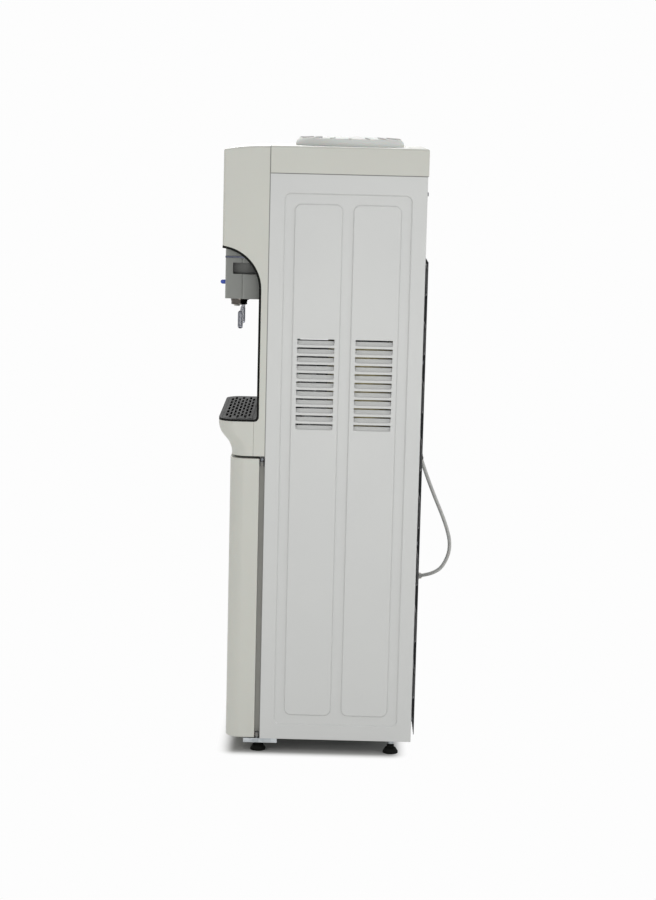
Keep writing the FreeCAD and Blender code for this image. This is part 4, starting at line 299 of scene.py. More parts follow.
    def seams(self, tree: Tree, place: Socket, unshaded: Socket) -> Socket:
        """Adds the painted shadow line under the cover and the one beside the front panel.

        Args:
            tree: the material's node tree.
            place: Object coordinates.
            unshaded: the share of the colour that shows elsewhere.

        Returns:
            The socket that gives the share of the colour that shows.
        """
        axes = add_node(tree, "ShaderNodeSeparateXYZ", {0: place})
        cover_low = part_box("top_cover")[0][2]
        side_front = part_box("right_side_panel")[0][1]
        on_front = add_node(tree, "ShaderNodeMath",
                            {0: axes.outputs[1], 1: side_front - PaintedShade.SEAM_HALF_WIDTH},
                            operation="LESS_THAN").outputs[0]
        under_cover = PaintedShade.seam(tree, axes.outputs[2], cover_low)
        under_cover = add_node(tree, "ShaderNodeMath", {0: under_cover, 1: on_front},
                               operation="MAXIMUM").outputs[0]
        for line in (under_cover, PaintedShade.seam(tree, axes.outputs[1], side_front)):
            unshaded = add_node(tree, "ShaderNodeMath", {0: unshaded, 1: line},
                             operation="MINIMUM").outputs[0]
        return unshaded

    def material(self) -> bpy.types.Material:
        """Builds the finish as a material.

        Returns:
            The material, named for the finish.
        """
        made = bpy.data.materials.new(self.name)
        made.use_nodes = True
        tree = made.node_tree
        tree.nodes.clear()
        place = add_node(tree, "ShaderNodeTexCoord").outputs["Object"]
        uneven = self.mottle(tree, place)
        colour = add_node(tree, "ShaderNodeMix",
                          {"Factor": uneven, 6: linear(self.colour), 7: linear(self.tint)},
                          data_type="RGBA")
        paint = colour.outputs[2]
        # Painted shade in inner corners, and on some finishes painted shadow along seams
        # and on hinge lugs.
        if self.crevice_mm:
            paint = self.with_painted_shade(tree, place, paint)
        gloss = add_node(tree, "ShaderNodeMapRange",
                         {"Value": uneven,
                          "To Min": max(self.roughness - self.swing, self.GLOSSIEST),
                          "To Max": self.roughness + self.swing})
        edge = add_node(tree, "ShaderNodeBevel", {"Radius": self.edge_mm * MM},
                        samples=self.CORNER_SAMPLES)
        relief = add_node(tree, "ShaderNodeBump",
                          {"Strength": 1.0, "Distance": self.relief_mm * MM,
                           "Height": self.height(tree, place), "Normal": edge.outputs[0]})
        shader = add_node(tree, "ShaderNodeBsdfPrincipled",
                          {"Base Color": paint, "Roughness": gloss.outputs[0],
                           "Normal": relief.outputs[0], "Metallic": self.metallic,
                           "IOR": self.ior, "Specular IOR Level": self.specular,
                           "Coat Weight": self.coat, "Transmission Weight": self.clear,
                           "Subsurface Weight": self.under_skin,
                           "Subsurface Scale": self.SKIN_DEPTH})
        add_node(tree, "ShaderNodeOutputMaterial", {"Surface": shader.outputs[0]})
        return made


# Each finish starts from the common material that the real piece is made of.
FINISHES: dict[str, Finish] = {
    # Polyester powder coat on sheet steel: an even white with a low rounded swell that
    # breaks up reflections; the swell is drawn at 2.2 mm so that it shows.
    # Painted shade darkens its inner corners and painted shadow lines mark the casing's
    # seams.
    "powder_coated_steel": Finish(
        "powder_coated_sheet_steel", "C7C8C6", "C3C4C3", Grain.ORANGE_PEEL,
        grain_mm=2.2, relief_mm=0.012, roughness=0.36, swing=0.03, mottle_mm=180,
        edge_mm=0.8, crevice_mm=1.6, paints_seam_shadows=True),
    # Hot-dip galvanised sheet: dull grey crystals of about a centimetre.
    "galvanised_steel": Finish(
        "galvanised_sheet_steel", "B4B8BA", "989DA0", Grain.SPANGLE, grain_mm=9.0,
        relief_mm=0.004, roughness=0.42, swing=0.09, mottle_mm=11, metallic=0.85,
        edge_mm=0.5),
    # ABS moulded against a polished tool that has dulled: satin cream, with painted
    # shade in its corners and painted shadow lines where the pieces of the casing meet.
    "cream_plastic": Finish(
        "moulded_cream_abs", "C2C3BB", "BFBFB8", Grain.SPARK, grain_mm=1.4,
        relief_mm=0.010, roughness=0.42, swing=0.04, mottle_mm=140, under_skin=0.03,
        crevice_mm=4.0, paints_seam_shadows=True),
    # Vacuum-formed polystyrene liner: white with a soft gloss and slow waves, with
    # painted shade deep into its folds and on the door's hinge lugs.
    "white_plastic": Finish(
        "vacuum_formed_white_polystyrene", "E4E4DF", "DEDED8", Grain.ORANGE_PEEL,
        grain_mm=5.0, relief_mm=0.02, roughness=0.34, mottle_mm=90, under_skin=0.04,
        crevice_mm=24.0, lugs_from=0.147),
    # ABS with a spark-eroded grain: a deep matt black that takes almost no shine.
    "black_plastic": Finish(
        "grained_black_abs", "0D0E0C", "131412", Grain.SPARK, grain_mm=0.9,
        relief_mm=0.02, roughness=0.62, mottle_mm=40, specular=0.09),
    # Satin moulded ABS of the tap housing: mid grey, with painted shade in its recess and
    # under the cover.
    "grey_plastic": Finish(
        "moulded_grey_abs", "949692", "8E908C", Grain.SPARK, grain_mm=1.2,
        relief_mm=0.012, roughness=0.40, mottle_mm=70, specular=0.30, crevice_mm=22.0),
    # Gloss moulded ABS trim: dark blue with a clean highlight along its edge.
    "dark_blue_plastic": Finish(
        "gloss_dark_blue_abs", "29355A", "252F50", Grain.ORANGE_PEEL, grain_mm=3.0,
        relief_mm=0.004, roughness=0.22, mottle_mm=30, coat=0.2),
    # Smoke-tinted polycarbonate of the two levers: half clear, with a hard shine.
    "smoked_plastic": Finish(
        "smoked_polycarbonate", "9698A0", "8C8E97", Grain.ORANGE_PEEL, grain_mm=4.0,
        relief_mm=0.004, roughness=0.16, swing=0.03, mottle_mm=15, clear=0.55, coat=0.2),
    # Gloss moulded ABS push button: a strong blue with a small round highlight.
    "blue_plastic": Finish(
        "gloss_blue_abs", "2A4CB0", "2545A2", Grain.ORANGE_PEEL, grain_mm=3.0,
        relief_mm=0.004, roughness=0.22, mottle_mm=18, coat=0.2),
    # Gloss moulded ABS rocker: the warm red of a switch for heating.
    "red_plastic": Finish(
        "gloss_red_abs", "BE2A22", "AE241E", Grain.ORANGE_PEEL, grain_mm=3.0,
        relief_mm=0.004, roughness=0.22, mottle_mm=18, coat=0.2),
    # Natural polypropylene: milky and dull, as light spreads a little below its skin;
    # painted shade darkens its narrow corners.
    "translucent_plastic": Finish(
        "natural_polypropylene", "DADCD9", "D5D7D4", Grain.ORANGE_PEEL, grain_mm=4.0,
        relief_mm=0.012, roughness=0.50, mottle_mm=60, under_skin=0.15, specular=0.06,
        crevice_mm=2.0),
    # Smoked chrome plating over moulded ABS: a dark warm mirror of the white studio.
    "chromed_plastic": Finish(
        "smoked_chrome_plated_abs", "5E5A56", "524E4A", Grain.ORANGE_PEEL, grain_mm=4.0,
        relief_mm=0.002, roughness=0.16, swing=0.03, mottle_mm=20, metallic=1.0,
        edge_mm=0.4),
    # Soft PVC extrusion of the door's seal: dull grey, without a clear highlight.
    "gasket_rubber": Finish(
        "extruded_grey_pvc", "A5A49E", "9D9C96", Grain.SPARK, grain_mm=1.0,
        relief_mm=0.02, roughness=0.55, mottle_mm=50),
    # Moulded rubber of grommets and the lead's sleeve: near black with a dry skin.
    "black_rubber": Finish(
        "moulded_black_rubber", "1B1B1A", "242423", Grain.SPARK, grain_mm=0.8,
        relief_mm=0.03, roughness=0.62, mottle_mm=25),
    # Baked black enamel over steel tube, wire and shell: long soft highlights.
    "black_enamel": Finish(
        "baked_black_enamel", "161617", "1F1F20", Grain.ORANGE_PEEL, grain_mm=1.8,
        relief_mm=0.015, roughness=0.34, mottle_mm=45, edge_mm=0.4),
    # Brushed stainless steel of the tanks: bright, with fine lines up their height.
    "stainless_steel": Finish(
        "brushed_stainless_steel", "C6C8C9", "B4B7B9", Grain.ROLLED, grain_mm=0.7,
        relief_mm=0.006, roughness=0.28, mottle_mm=60, metallic=1.0),
    # Zinc-plated steel of screws and pins: dull mid-grey metal.
    "steel_pin": Finish(
        "zinc_plated_steel", "74767A", "66686C", Grain.ORANGE_PEEL, grain_mm=1.5,
        relief_mm=0.004, roughness=0.40, mottle_mm=12, metallic=1.0, edge_mm=0.3),
    # Drawn copper tube: orange metal with patches where it has begun to dull.
    "copper_tube": Finish(
        "drawn_copper_tube", "C98560", "A9694A", Grain.ROLLED, grain_mm=0.9,
        relief_mm=0.005, roughness=0.30, swing=0.1, mottle_mm=35, metallic=1.0,
        edge_mm=0.3),
    # Polyurethane foamed in place: pale straw with an uneven cellular skin.
    "foam": Finish(
        "polyurethane_foam", "DDD3A8", "C6B984", Grain.CELLS, grain_mm=3.5,
        relief_mm=0.5, roughness=0.85, mottle_mm=30),
    # Silicone hose: milky and partly clear, so that it glows along its edges.
    "silicone_hose": Finish(
        "milky_silicone_hose", "DCE0E0", "D0D5D6", Grain.ORANGE_PEEL, grain_mm=3.0,
        relief_mm=0.01, roughness=0.32, mottle_mm=25, clear=0.35, under_skin=0.2),
    # Extruded PVC sheath of the lead: light grey with a faint drawn skin.
    "grey_cord": Finish(
        "extruded_light_grey_pvc", "B4B4B1", "ABABA8", Grain.SPARK, grain_mm=0.9,
        relief_mm=0.012, roughness=0.46, mottle_mm=28, under_skin=0.02, edge_mm=0.4),
}


class PaintShop:
    """Keeps one material for each finish and puts it on pieces."""

    def __init__(self) -> None:
        """Starts with no material made."""
        self.made: dict[str, bpy.types.Material] = {}

    def get(self, slot: str) -> bpy.types.Material:
        """Gives the material of a slot, made on first use.

        Args:
            slot: the record's material slot.

        Returns:
            The material.
        """
        if slot not in self.made:
            self.made[slot] = FINISHES[slot].material()
        return self.made[slot]

    def dress(self, piece: Piece, slot: str) -> None:
        """Puts a slot's material on every material slot of a piece.

        Args:
            piece: a CAD node or a new piece.
            slot: the record's material slot.
        """
        material = self.get(slot)
        if not piece.material_slots:
            piece.data.materials.append(material)
        for holder in piece.material_slots:
            holder.material = material

    def dress_nodes(self) -> None:
        """Dresses every CAD node in the finish that the record names for it."""
        for part in frame["record"]["subparts"]:
            self.dress(frame["nodes"][part["node"]], part["material_slot"])


@dataclass(frozen=True)
class SoftBox:
    """One square soft box: its name, its place, its side and its power in watts."""

    name: str
    spot: Triple
    side: float
    watts: float


@dataclass
class Studio:
    """Camera, lamps and floor of the portrait.

    The camera's place, its turns in radians and its lens follow from the portrait's
    edges. Under the footprint, given as half its sides, the floor has a darker colour,
    a painted shadow, and over the fade's width it turns to the far one, and to white
    in the view.
    """

    eye: Vector = field(default_factory=lambda: Vector((3.83196, 0.0257, 1.1345)))
    yaw: float = -0.0028
    pitch: float = 0.157
    roll: float = 0.0247
    lens: float = 84.7
    sensor: float = 36.0
    aim_height: float = 0.6
    ambient: float = 0.56
    floor_radius: float = 9.0
    floor_sides: int = 96
    footprint: Triple = (0.150, 0.138, 0.0)
    fade: float = 0.036
    # Painted shadow: the floor's darker colour under the cooler.
    painted_shadow_colour: str = "B4B4B2"
    far: str = "F2F2F0"
    white: str = "FDFDFD"
    boxes: tuple[SoftBox, ...] = (
        SoftBox("key_soft_box", (2.1, -2.5, 1.7), 1.8, 17),
        SoftBox("low_soft_box", (3.0, 0.3, 0.25), 1.2, 19),
        SoftBox("rear_soft_box", (1.2, 2.6, 2.2), 1.6, 26),
        SoftBox("far_side_soft_box", (-2.6, -0.6, 2.2), 1.8, 36),
    )

    def camera(self) -> None:
        """Places the camera at the portrait's viewpoint."""
        ahead = Vector((-math.cos(self.yaw) * math.cos(self.pitch),
                        math.sin(self.yaw) * math.cos(self.pitch), -math.sin(self.pitch)))
        level = Vector((math.sin(self.yaw), math.cos(self.yaw), 0))
        up = level.cross(ahead)
        turn = Matrix.Rotation(self.roll, 3, -ahead)
        right, top = turn @ level, turn @ up
        data = bpy.data.cameras.new("portrait_camera")
        data.lens, data.sensor_width = self.lens, self.sensor
        camera = bpy.data.objects.new("portrait_camera", data)
        bpy.context.scene.collection.objects.link(camera)
        camera.matrix_world = Matrix((right, top, -ahead)).transposed().to_4x4()
        camera.location = self.eye
        bpy.context.scene.camera = camera

    def lamp(self, box: SoftBox) -> None:
        """Hangs one soft box so that it faces the middle of the cooler.

        Args:
            box: the soft box.
        """
        data = bpy.data.lights.new(box.name, "AREA")
        data.shape, data.size, data.energy = "SQUARE", box.side, box.watts
        lamp = bpy.data.objects.new(box.name, data)
        bpy.context.scene.collection.objects.link(lamp)
        lamp.location = box.spot
        aim = Vector((0, 0, self.aim_height)) - Vector(box.spot)
        lamp.rotation_euler = aim.to_track_quat("-Z", "Y").to_euler()

    @staticmethod
    def in_view(tree: Tree) -> Socket:
        """Tells rays that show the studio itself from those that light the cooler.

        Args:
            tree: the node tree of the world or of the floor.

        Returns:
            The socket that is 1 for the camera, reflections and clear pieces, or 0.
        """
        path = add_node(tree, "ShaderNodeLightPath")
        seen = path.outputs["Is Camera Ray"]
        for ray in ("Is Glossy Ray", "Is Transmission Ray"):
            seen = add_node(tree, "ShaderNodeMath", {0: seen, 1: path.outputs[ray]},
                            operation="MAXIMUM").outputs[0]
        return seen

    def world(self) -> None:
        """Surrounds the studio with even white light and a white view."""
        world = bpy.data.worlds.new("white_tent")
        world.use_nodes = True
        tree = world.node_tree
        tree.nodes.clear()
        seen = self.in_view(tree)
        light = add_node(tree, "ShaderNodeBackground",
                         {"Color": (1, 1, 1, 1), "Strength": self.ambient})
        view = add_node(tree, "ShaderNodeBackground",
                        {"Color": linear(self.white), "Strength": 1.0})
        both = add_node(tree, "ShaderNodeMixShader",
                        {0: seen, 1: light.outputs[0], 2: view.outputs[0]})
        add_node(tree, "ShaderNodeOutputWorld", {"Surface": both.outputs[0]})
        bpy.context.scene.world = world

    def floor(self) -> None:
        """Lays a pale floor that keeps the real shadow, adds a painted shadow under the
        cooler, and fades to white further out.
        """
        bpy.ops.mesh.primitive_circle_add(vertices=self.floor_sides,
                                          radius=self.floor_radius, fill_type="NGON")
        sheet = bpy.context.object
        sheet.name = "studio_floor"
        material = bpy.data.materials.new("pale_floor")
        material.use_nodes = True
        tree = material.node_tree
        tree.nodes.clear()
        place = add_node(tree, "ShaderNodeTexCoord").outputs["Object"]
        folded = add_node(tree, "ShaderNodeVectorMath", {0: place}, operation="ABSOLUTE")
        beyond = add_node(tree, "ShaderNodeVectorMath",
                          {0: folded.outputs[0], 1: self.footprint}, operation="SUBTRACT")
        beyond = add_node(tree, "ShaderNodeVectorMath", {0: beyond.outputs[0]},
                          operation="MAXIMUM")
        away = add_node(tree, "ShaderNodeVectorMath", {0: beyond.outputs[0]},
                        operation="LENGTH")
        fade = add_node(tree, "ShaderNodeMapRange",
                        {"Value": away.outputs["Value"], "From Min": 0.0,
                         "From Max": self.fade}, interpolation_type="SMOOTHSTEP")
        share = add_node(tree, "ShaderNodeMath",
                         {0: fade.outputs[0], 1: self.in_view(tree)}, operation="MULTIPLY")
        # Painted shadow: darker colour under the footprint, turning to the far colour
        # further out.
        colour = add_node(tree, "ShaderNodeMix",
                          {"Factor": fade.outputs[0], 6: linear(self.painted_shadow_colour),
                           7: linear(self.far)}, data_type="RGBA")
        matt = add_node(tree, "ShaderNodeBsdfDiffuse", {"Color": colour.outputs[2]})
        glow = add_node(tree, "ShaderNodeEmission",
                        {"Color": linear(self.white), "Strength": 1.0})
        both = add_node(tree, "ShaderNodeMixShader",
                        {0: share.outputs[0], 1: matt.outputs[0], 2: glow.outputs[0]})
        add_node(tree, "ShaderNodeOutputMaterial", {"Surface": both.outputs[0]})
        sheet.data.materials.append(material)

    def build(self) -> None:
        """Sets up the whole studio."""
        bpy.context.scene.view_settings.view_transform = "Standard"
        self.camera()
        self.world()
        for box in self.boxes:
            self.lamp(box)
        self.floor()


# Steps round a bar, and for bars and turned shapes the distance at which points
# merge, in metres, and the angle above which an edge stays sharp, in degrees.
BAR_STEPS = 6
BAR_DOUBLES, BAR_SHARP = 0.00002, 40
TURNED_DOUBLES, TURNED_SHARP = 0.00001, 35


def round_bar(name: str, spots: list[Vector], thickness: list[float],
              kind: str = "POLY") -> Piece:
    """Makes a bar of round section along points, as a curve.

    Args:
        name: the piece's name.
        spots: the points that it follows.
        thickness: the radius at each point.
        kind: the spline's type.

    Returns:
        The curve object.
    """
    data = bpy.data.curves.new(name, "CURVE")
    data.dimensions = "3D"
    data.bevel_depth = 1.0
    data.bevel_resolution = BAR_STEPS
    data.use_fill_caps = True
    data.resolution_u = data.render_resolution_u = BAR_STEPS
    spline = data.splines.new(kind)
    spline.points.add(len(spots) - 1)
    for point, spot, radius in zip(spline.points, spots, thickness):
        point.co = (*spot, 1.0)
        point.radius = radius
    piece = bpy.data.objects.new(name, data)
    bpy.context.scene.collection.objects.link(piece)
    return piece


def activate(piece: Piece) -> None:
    """Selects one piece alone and makes it the active one."""
    bpy.ops.object.select_all(action="DESELECT")
    piece.select_set(True)
    bpy.context.view_layer.objects.active = piece


def clean_active(doubles: float, sharp: float) -> None:
    """Merges the active mesh's doubles, turns its faces outwards and smooths it.

    Args:
        doubles: points nearer to each other than this become one.
        sharp: edges sharper than this many degrees stay sharp.
    """
    bpy.ops.object.mode_set(mode="EDIT")
    bpy.ops.mesh.select_all(action="SELECT")
    bpy.ops.mesh.remove_doubles(threshold=doubles)
    bpy.ops.mesh.normals_make_consistent(inside=False)
    bpy.ops.object.mode_set(mode="OBJECT")
    bpy.ops.object.shade_smooth_by_angle(angle=math.radians(sharp))


def bar_mesh(bar: Piece) -> Piece:
    """Turns a bar's curve into its mesh, with closed ends.

    Args:
        bar: the curve object.

    Returns:
        The same object, as a mesh.
    """
    activate(bar)
    bpy.ops.object.convert(target="MESH")
    clean_active(BAR_DOUBLES, BAR_SHARP)
    return bpy.context.object


def turned(name: str, profile: list[tuple[float, float]], sides: int) -> Piece:
    """Turns a closed profile about the Z axis by growing a circle from ring to ring.

    Args:
        name: the piece's name.
        profile: the (radius, height) of each ring; the last joins the first.
        sides: how many sides the turning has.

    Returns:
        The turned piece, standing at the origin.
    """
    bpy.ops.object.select_all(action="DESELECT")
    radius, height = profile[0]
    bpy.ops.mesh.primitive_circle_add(vertices=sides, radius=radius,
                                      location=(0, 0, height))
    piece = bpy.context.object
    piece.name = piece.data.name = name
    bpy.ops.object.transform_apply(location=True)
    bpy.ops.object.mode_set(mode="EDIT")
    bpy.ops.mesh.select_all(action="SELECT")
    for wide, high in profile[1:] + profile[:1]:
        bpy.ops.mesh.extrude_region_move(
            TRANSFORM_OT_translate={"value": (0, 0, high - height)})
        share = wide / radius
        bpy.ops.transform.resize(value=(share, share, 1), center_override=(0, 0, 0))
        radius, height = wide, high
    bpy.ops.object.mode_set(mode="OBJECT")
    return piece


def set_down(piece: Piece, spot: Triple, turn: Triple = (0.0, 0.0, 0.0)) -> Piece:
    """Moves a shape to its place, keeps the place in its mesh and cleans the mesh.

    Args:
        piece: the piece, built at the origin.
        spot: where its origin goes.
        turn: its turn about X, Y and Z in degrees.

    Returns:
        The same piece, unturned at the origin.
    """
    piece.location = spot
    piece.rotation_euler = [math.radians(angle) for angle in turn]
    activate(piece)
    bpy.ops.object.transform_apply(location=True, rotation=True, scale=True)
    clean_active(TURNED_DOUBLES, TURNED_SHARP)
    return piece


def joined(name: str, shapes: list[Piece]) -> Piece:
    """Joins several shapes into one piece.

    Args:
        name: the piece's name.
        shapes: the shapes.

    Returns:
        The piece.
    """
    bpy.ops.object.select_all(action="DESELECT")
    for shape in shapes:
        shape.select_set(True)
    bpy.context.view_layer.objects.active = shapes[0]
    bpy.ops.object.join()
    piece = bpy.context.object
    piece.name = piece.data.name = name
    return piece


def box_of(node: str) -> tuple[Vector, Vector]:
    """Gives a CAD node's lowest and highest corners."""
    low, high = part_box(node)
    return Vector(low), Vector(high)


@dataclass
class Taps:
    """The two smoked-chrome collars under the housing, turned with a beaded rim.

    The bead's rings are (inset from the mouth's radius, rise above the mouth), the
    band's are (inset from the top's radius, drop below the top).
    """

    paint: PaintShop
    spacing: float = 0.096
    wall: float = 0.0015
    taper: float = 0.001
    inner_rise: float = 0.0006
    sides: int = 56
    bead: Rings = ((0.0008, 0.0), (0.0002, 0.0004), (0.0, 0.0012), (0.0001, 0.0022),
                   (0.0006, 0.0026), (0.0004, 0.0030))
    band: Rings = ((0.0004, 0.0026), (0.0006, 0.0022), (0.0, 0.0016), (0.0, 0.0))

    def build(self) -> list[Piece]:
        """Turns both collars in the place of the solid ones.

        Returns:
            The pieces made.
        """
        low, high = box_of("tap_collars")
        top, bottom = high.z, low.z
        y, wide = (low.y + high.y) / 2, (high.y - low.y) / 2
        mouth = wide - self.taper
        profile = [(mouth - self.wall, bottom + self.inner_rise)]
        profile += [(mouth - inset, bottom + rise) for inset, rise in self.bead]
        profile += [(wide - inset, top - drop) for inset, drop in self.band]
        profile.append((wide - self.wall, top))
        rings = []
        for side in (-1, 1):
            ring = turned("collar", profile, self.sides)
            rings.append(set_down(ring, (side * self.spacing / 2, y, 0)))
        collars = joined("chrome_collars", rings)
        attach(collars, "cabinet")
        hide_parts("tap_collars")
        self.paint.dress(collars, "chromed_plastic")
        return [collars]


@dataclass
class HingeScrew:
    """The small plated screw in the top hinge's block.

    The rings run from the back of the head over its face into the drive recess, as
    (share of the radius, height above the block's side).
    """

    paint: PaintShop
    radius: float = 0.0024
    sides: int = 32
    above_block: float = 0.0035
    off_middle: float = 0.0003
    rings: Rings = ((0.30, -0.0005), (1.0, -0.0005), (1.0, 0.00005), (0.90, 0.00012),
                    (0.55, 0.00014), (0.45, 0.00014), (0.42, -0.0003), (0.02, -0.0003),
                    (0.02, -0.0005))

    def build(self) -> list[Piece]:
        """Turns the flat head and sinks it in the block's outer side.

        Returns:
            The pieces made.
        """
        low, high = box_of("top_hinge_bracket")
        profile = [(self.radius * share, height) for share, height in self.rings]
        head = turned("screw_head", profile, self.sides)
        y = (low.y + high.y) / 2 - self.off_middle
        head = set_down(head, (high.x, y, low.z + self.above_block), (0, 90, 0))
        head.name = head.data.name = "hinge_screw"
        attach(head, "cabinet")
        self.paint.dress(head, "steel_pin")
        return [head]


@dataclass
class Condenser:
    """The black serpentine tube on the back.

    It leaves the wall at the upper port, bends into its plane, runs to and fro, and
    goes back into the wall at the lower port. Low and high are its end runs' levels.
    """

    paint: PaintShop
    half_width: float = 0.104
    radius: float = 0.0024
    runs: int = 17
    low: float = 0.035
    high: float = 0.875
    port_x: float = -0.072
    wall: float = 0.1703
    y: float = 0.1804
    bend_steps: int = 9
    elbow_steps: int = 4

    def elbow_angles(self) -> list[float]:
        """The angles of an elbow's points, from 0 to a quarter turn."""
        return [math.pi / 2 * count / self.elbow_steps
                for count in range(self.elbow_steps + 1)]

    def spots(self) -> list[Vector]:
        """Works out the tube's centre line.

        Returns:
            The points from the upper port to the lower one.
        """
        pitch = (self.high - self.low) / (self.runs - 1)
        turn, elbow = pitch / 2, self.radius * 2
        spots = [Vector((self.port_x, self.wall, self.high))]
        for angle in self.elbow_angles():
            spots.append(Vector((self.port_x + elbow * (1 - math.cos(angle)),
                                 self.y - elbow * (1 - math.sin(angle)), self.high)))
        side = 1
        for run in range(self.runs - 1):
            side = 1 if run % 2 == 0 else -1
            level = self.high - pitch * run - turn
            for count in range(self.bend_steps + 1):
                angle = math.pi * count / self.bend_steps
                x = side * (self.half_width - turn + turn * math.sin(angle))
                spots.append(Vector((x, self.y, level + turn * math.cos(angle))))
        for angle in self.elbow_angles():
            spots.append(Vector((self.port_x + side * elbow * (1 - math.sin(angle)),
                                 self.y - elbow * (1 - math.cos(angle)), self.low)))
        spots.append(Vector((self.port_x, self.wall, self.low)))
        return spots

    def build(self) -> list[Piece]:
        """Models the tube as one bent bar in the place of the many-sided solid.

        Returns:
            The pieces made.
        """
        spots = self.spots()
        tube = bar_mesh(round_bar("serpentine_tube", spots, [self.radius] * len(spots)))
        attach(tube, "cabinet")
        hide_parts("condenser_tube")
        self.paint.dress(tube, "black_enamel")
        return [tube]


@dataclass
class MainsPlug:
    """The moulded two-pin plug: ribbed neck, waisted grip and two pins.

    It is built along Z from the lead's end to the pins' tips. The ribs' rings are
    (inset from the rib's radius, distance from the rib's start); shares of the
    grip's length run from 0 at the neck to 1 at the pins.
    """

    paint: PaintShop
    lead_radius: float = 0.0035
    neck_sides: int = 32
    neck_hollow: float = 0.5
    neck_start: float = 0.0005
    neck_end: float = 0.0225
    collar: float = 0.0008
    shoulder: tuple[float, float] = (0.0036, 0.0215)
    ribs: int = 6
    rib_start: float = 0.0015
    rib_run: float = 0.0195
    rib_proud: float = 0.0010
    rib_growth: float = 0.0026
    rib_rings: Rings = ((0.0, 0.0), (0.0, 0.0019), (0.0009, 0.0022), (0.0009, 0.0030))
    width: float = 0.026
    tall: float = 0.0220
    body_start: float = 0.020
    body_end: float = 0.0535
    cuts: int = 9
    waist_at: float = 0.45
    waist_depth: float = 0.16
    waist_spread: float = 0.22
    ridge_depth: float = 0.03
    ridge_spread: float = 0.25
    ridges: int = 7
    end_reach: float = 0.18
    end_shrink: float = 0.18
    edge_radius: float = 0.0016
    edge_steps: int = 3
    edge_angle: float = 50
    pin_gap: float = 0.019
    pin_sides: int = 24
    pin_radius: float = 0.002
    pin_core: float = 0.0004
    pin_start: float = 0.050
    pin_step: float = 0.0003
    pin_step_from: float = 0.0625
    pin_step_to: float = 0.0627
    pin_round_from: float = 0.0708
    pin_tip: tuple[float, float] = (0.0010, 0.0001)

    def neck(self) -> Piece:
        """Turns the ribbed neck.

        Returns:
            The neck.
        """
        radius = self.lead_radius
        hollow = radius * self.neck_hollow
        profile = [(hollow, self.neck_start), (radius + self.collar, self.neck_start)]
        for rib in range(self.ribs):
            low = self.rib_start + self.rib_run * rib / self.ribs
            wide = radius + self.rib_proud + self.rib_growth * rib / self.ribs
            profile += [(wide - inset, low + rise) for inset, rise in self.rib_rings]
        proud, level = self.shoulder
        profile += [(radius + proud, level), (hollow, self.neck_end)]
        return turned("plug_neck", profile, self.neck_sides)

    def grip(self) -> Piece:
        """Models the waisted grip from a block, pinched between finger ridges.

        Returns:
            The grip.
        """
        bpy.ops.object.select_all(action="DESELECT")
        length = self.body_end - self.body_start
        bpy.ops.mesh.primitive_cube_add(size=1)
        piece = bpy.context.object
        piece.scale = (self.width, self.tall, length)
        piece.location = (0, 0, self.body_start + length / 2)
        bpy.ops.object.transform_apply(location=True, rotation=True, scale=True)
        bpy.ops.object.mode_set(mode="EDIT")
        bpy.ops.mesh.select_all(action="SELECT")
        bpy.ops.mesh.subdivide(number_cuts=self.cuts)
        bpy.ops.object.mode_set(mode="OBJECT")
        for vertex in piece.data.vertices:
            share = (vertex.co.z - self.body_start) / length
            off = share - self.waist_at
            pinch = 1 - self.waist_depth * math.exp(-(off / self.waist_spread) ** 2)
            wave = math.cos(share * math.pi * 2 * self.ridges)
            ridge = self.ridge_depth * wave * math.exp(-(off / self.ridge_spread) ** 2)
            near_end = max(0.0, self.end_reach - min(share, 1 - share)) / self.end_reach
            round_off = 1 - self.end_shrink * near_end
            vertex.co.x *= (pinch + ridge) * round_off
            vertex.co.y *= round_off
        bevel = piece.modifiers.new("soft_edges", "BEVEL")
        bevel.width, bevel.segments = self.edge_radius, self.edge_steps
        bevel.limit_method = "ANGLE"
        bevel.angle_limit = math.radians(self.edge_angle)
        bpy.ops.object.modifier_apply(modifier="soft_edges")
        return piece

    def pin(self, side: int, length: float) -> Piece:
        """Turns one pin, sleeved at its root and rounded at its tip.

        Args:
            side: -1 or 1, the side on which it stands.
            length: the whole plug's length, at which it ends.

        Returns:
            The pin.
        """
        bare = self.pin_radius - self.pin_step
        tip_radius, tip_drop = self.pin_tip
        pin = turned("pin", [
            (self.pin_core, self.pin_start), (self.pin_radius, self.pin_start),
            (self.pin_radius, self.pin_step_from), (bare, self.pin_step_to),
            (bare, self.pin_round_from), (tip_radius, length - tip_drop),
            (self.pin_core, length)], self.pin_sides)
        pin.location = (side * self.pin_gap / 2, 0, 0)
        return pin

    def build(self) -> list[Piece]:
        """Joins neck, grip and pins in the place of the solid plug.

        Returns:
            The pieces made.
        """
        low, high = box_of("mains_plug")
        x, z = (low.x + high.x) / 2, (low.z + high.z) / 2
        shapes = [self.neck(), self.grip()]
        shapes += [self.pin(side, high.y - low.y) for side in (-1, 1)]
        plug = joined("two_pin_plug", shapes)
        set_down(plug, (x, low.y, z), (-90, 0, 0))
        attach(plug, "cabinet")
        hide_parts("mains_plug")
        self.paint.dress(plug, "grey_cord")
        return [plug]


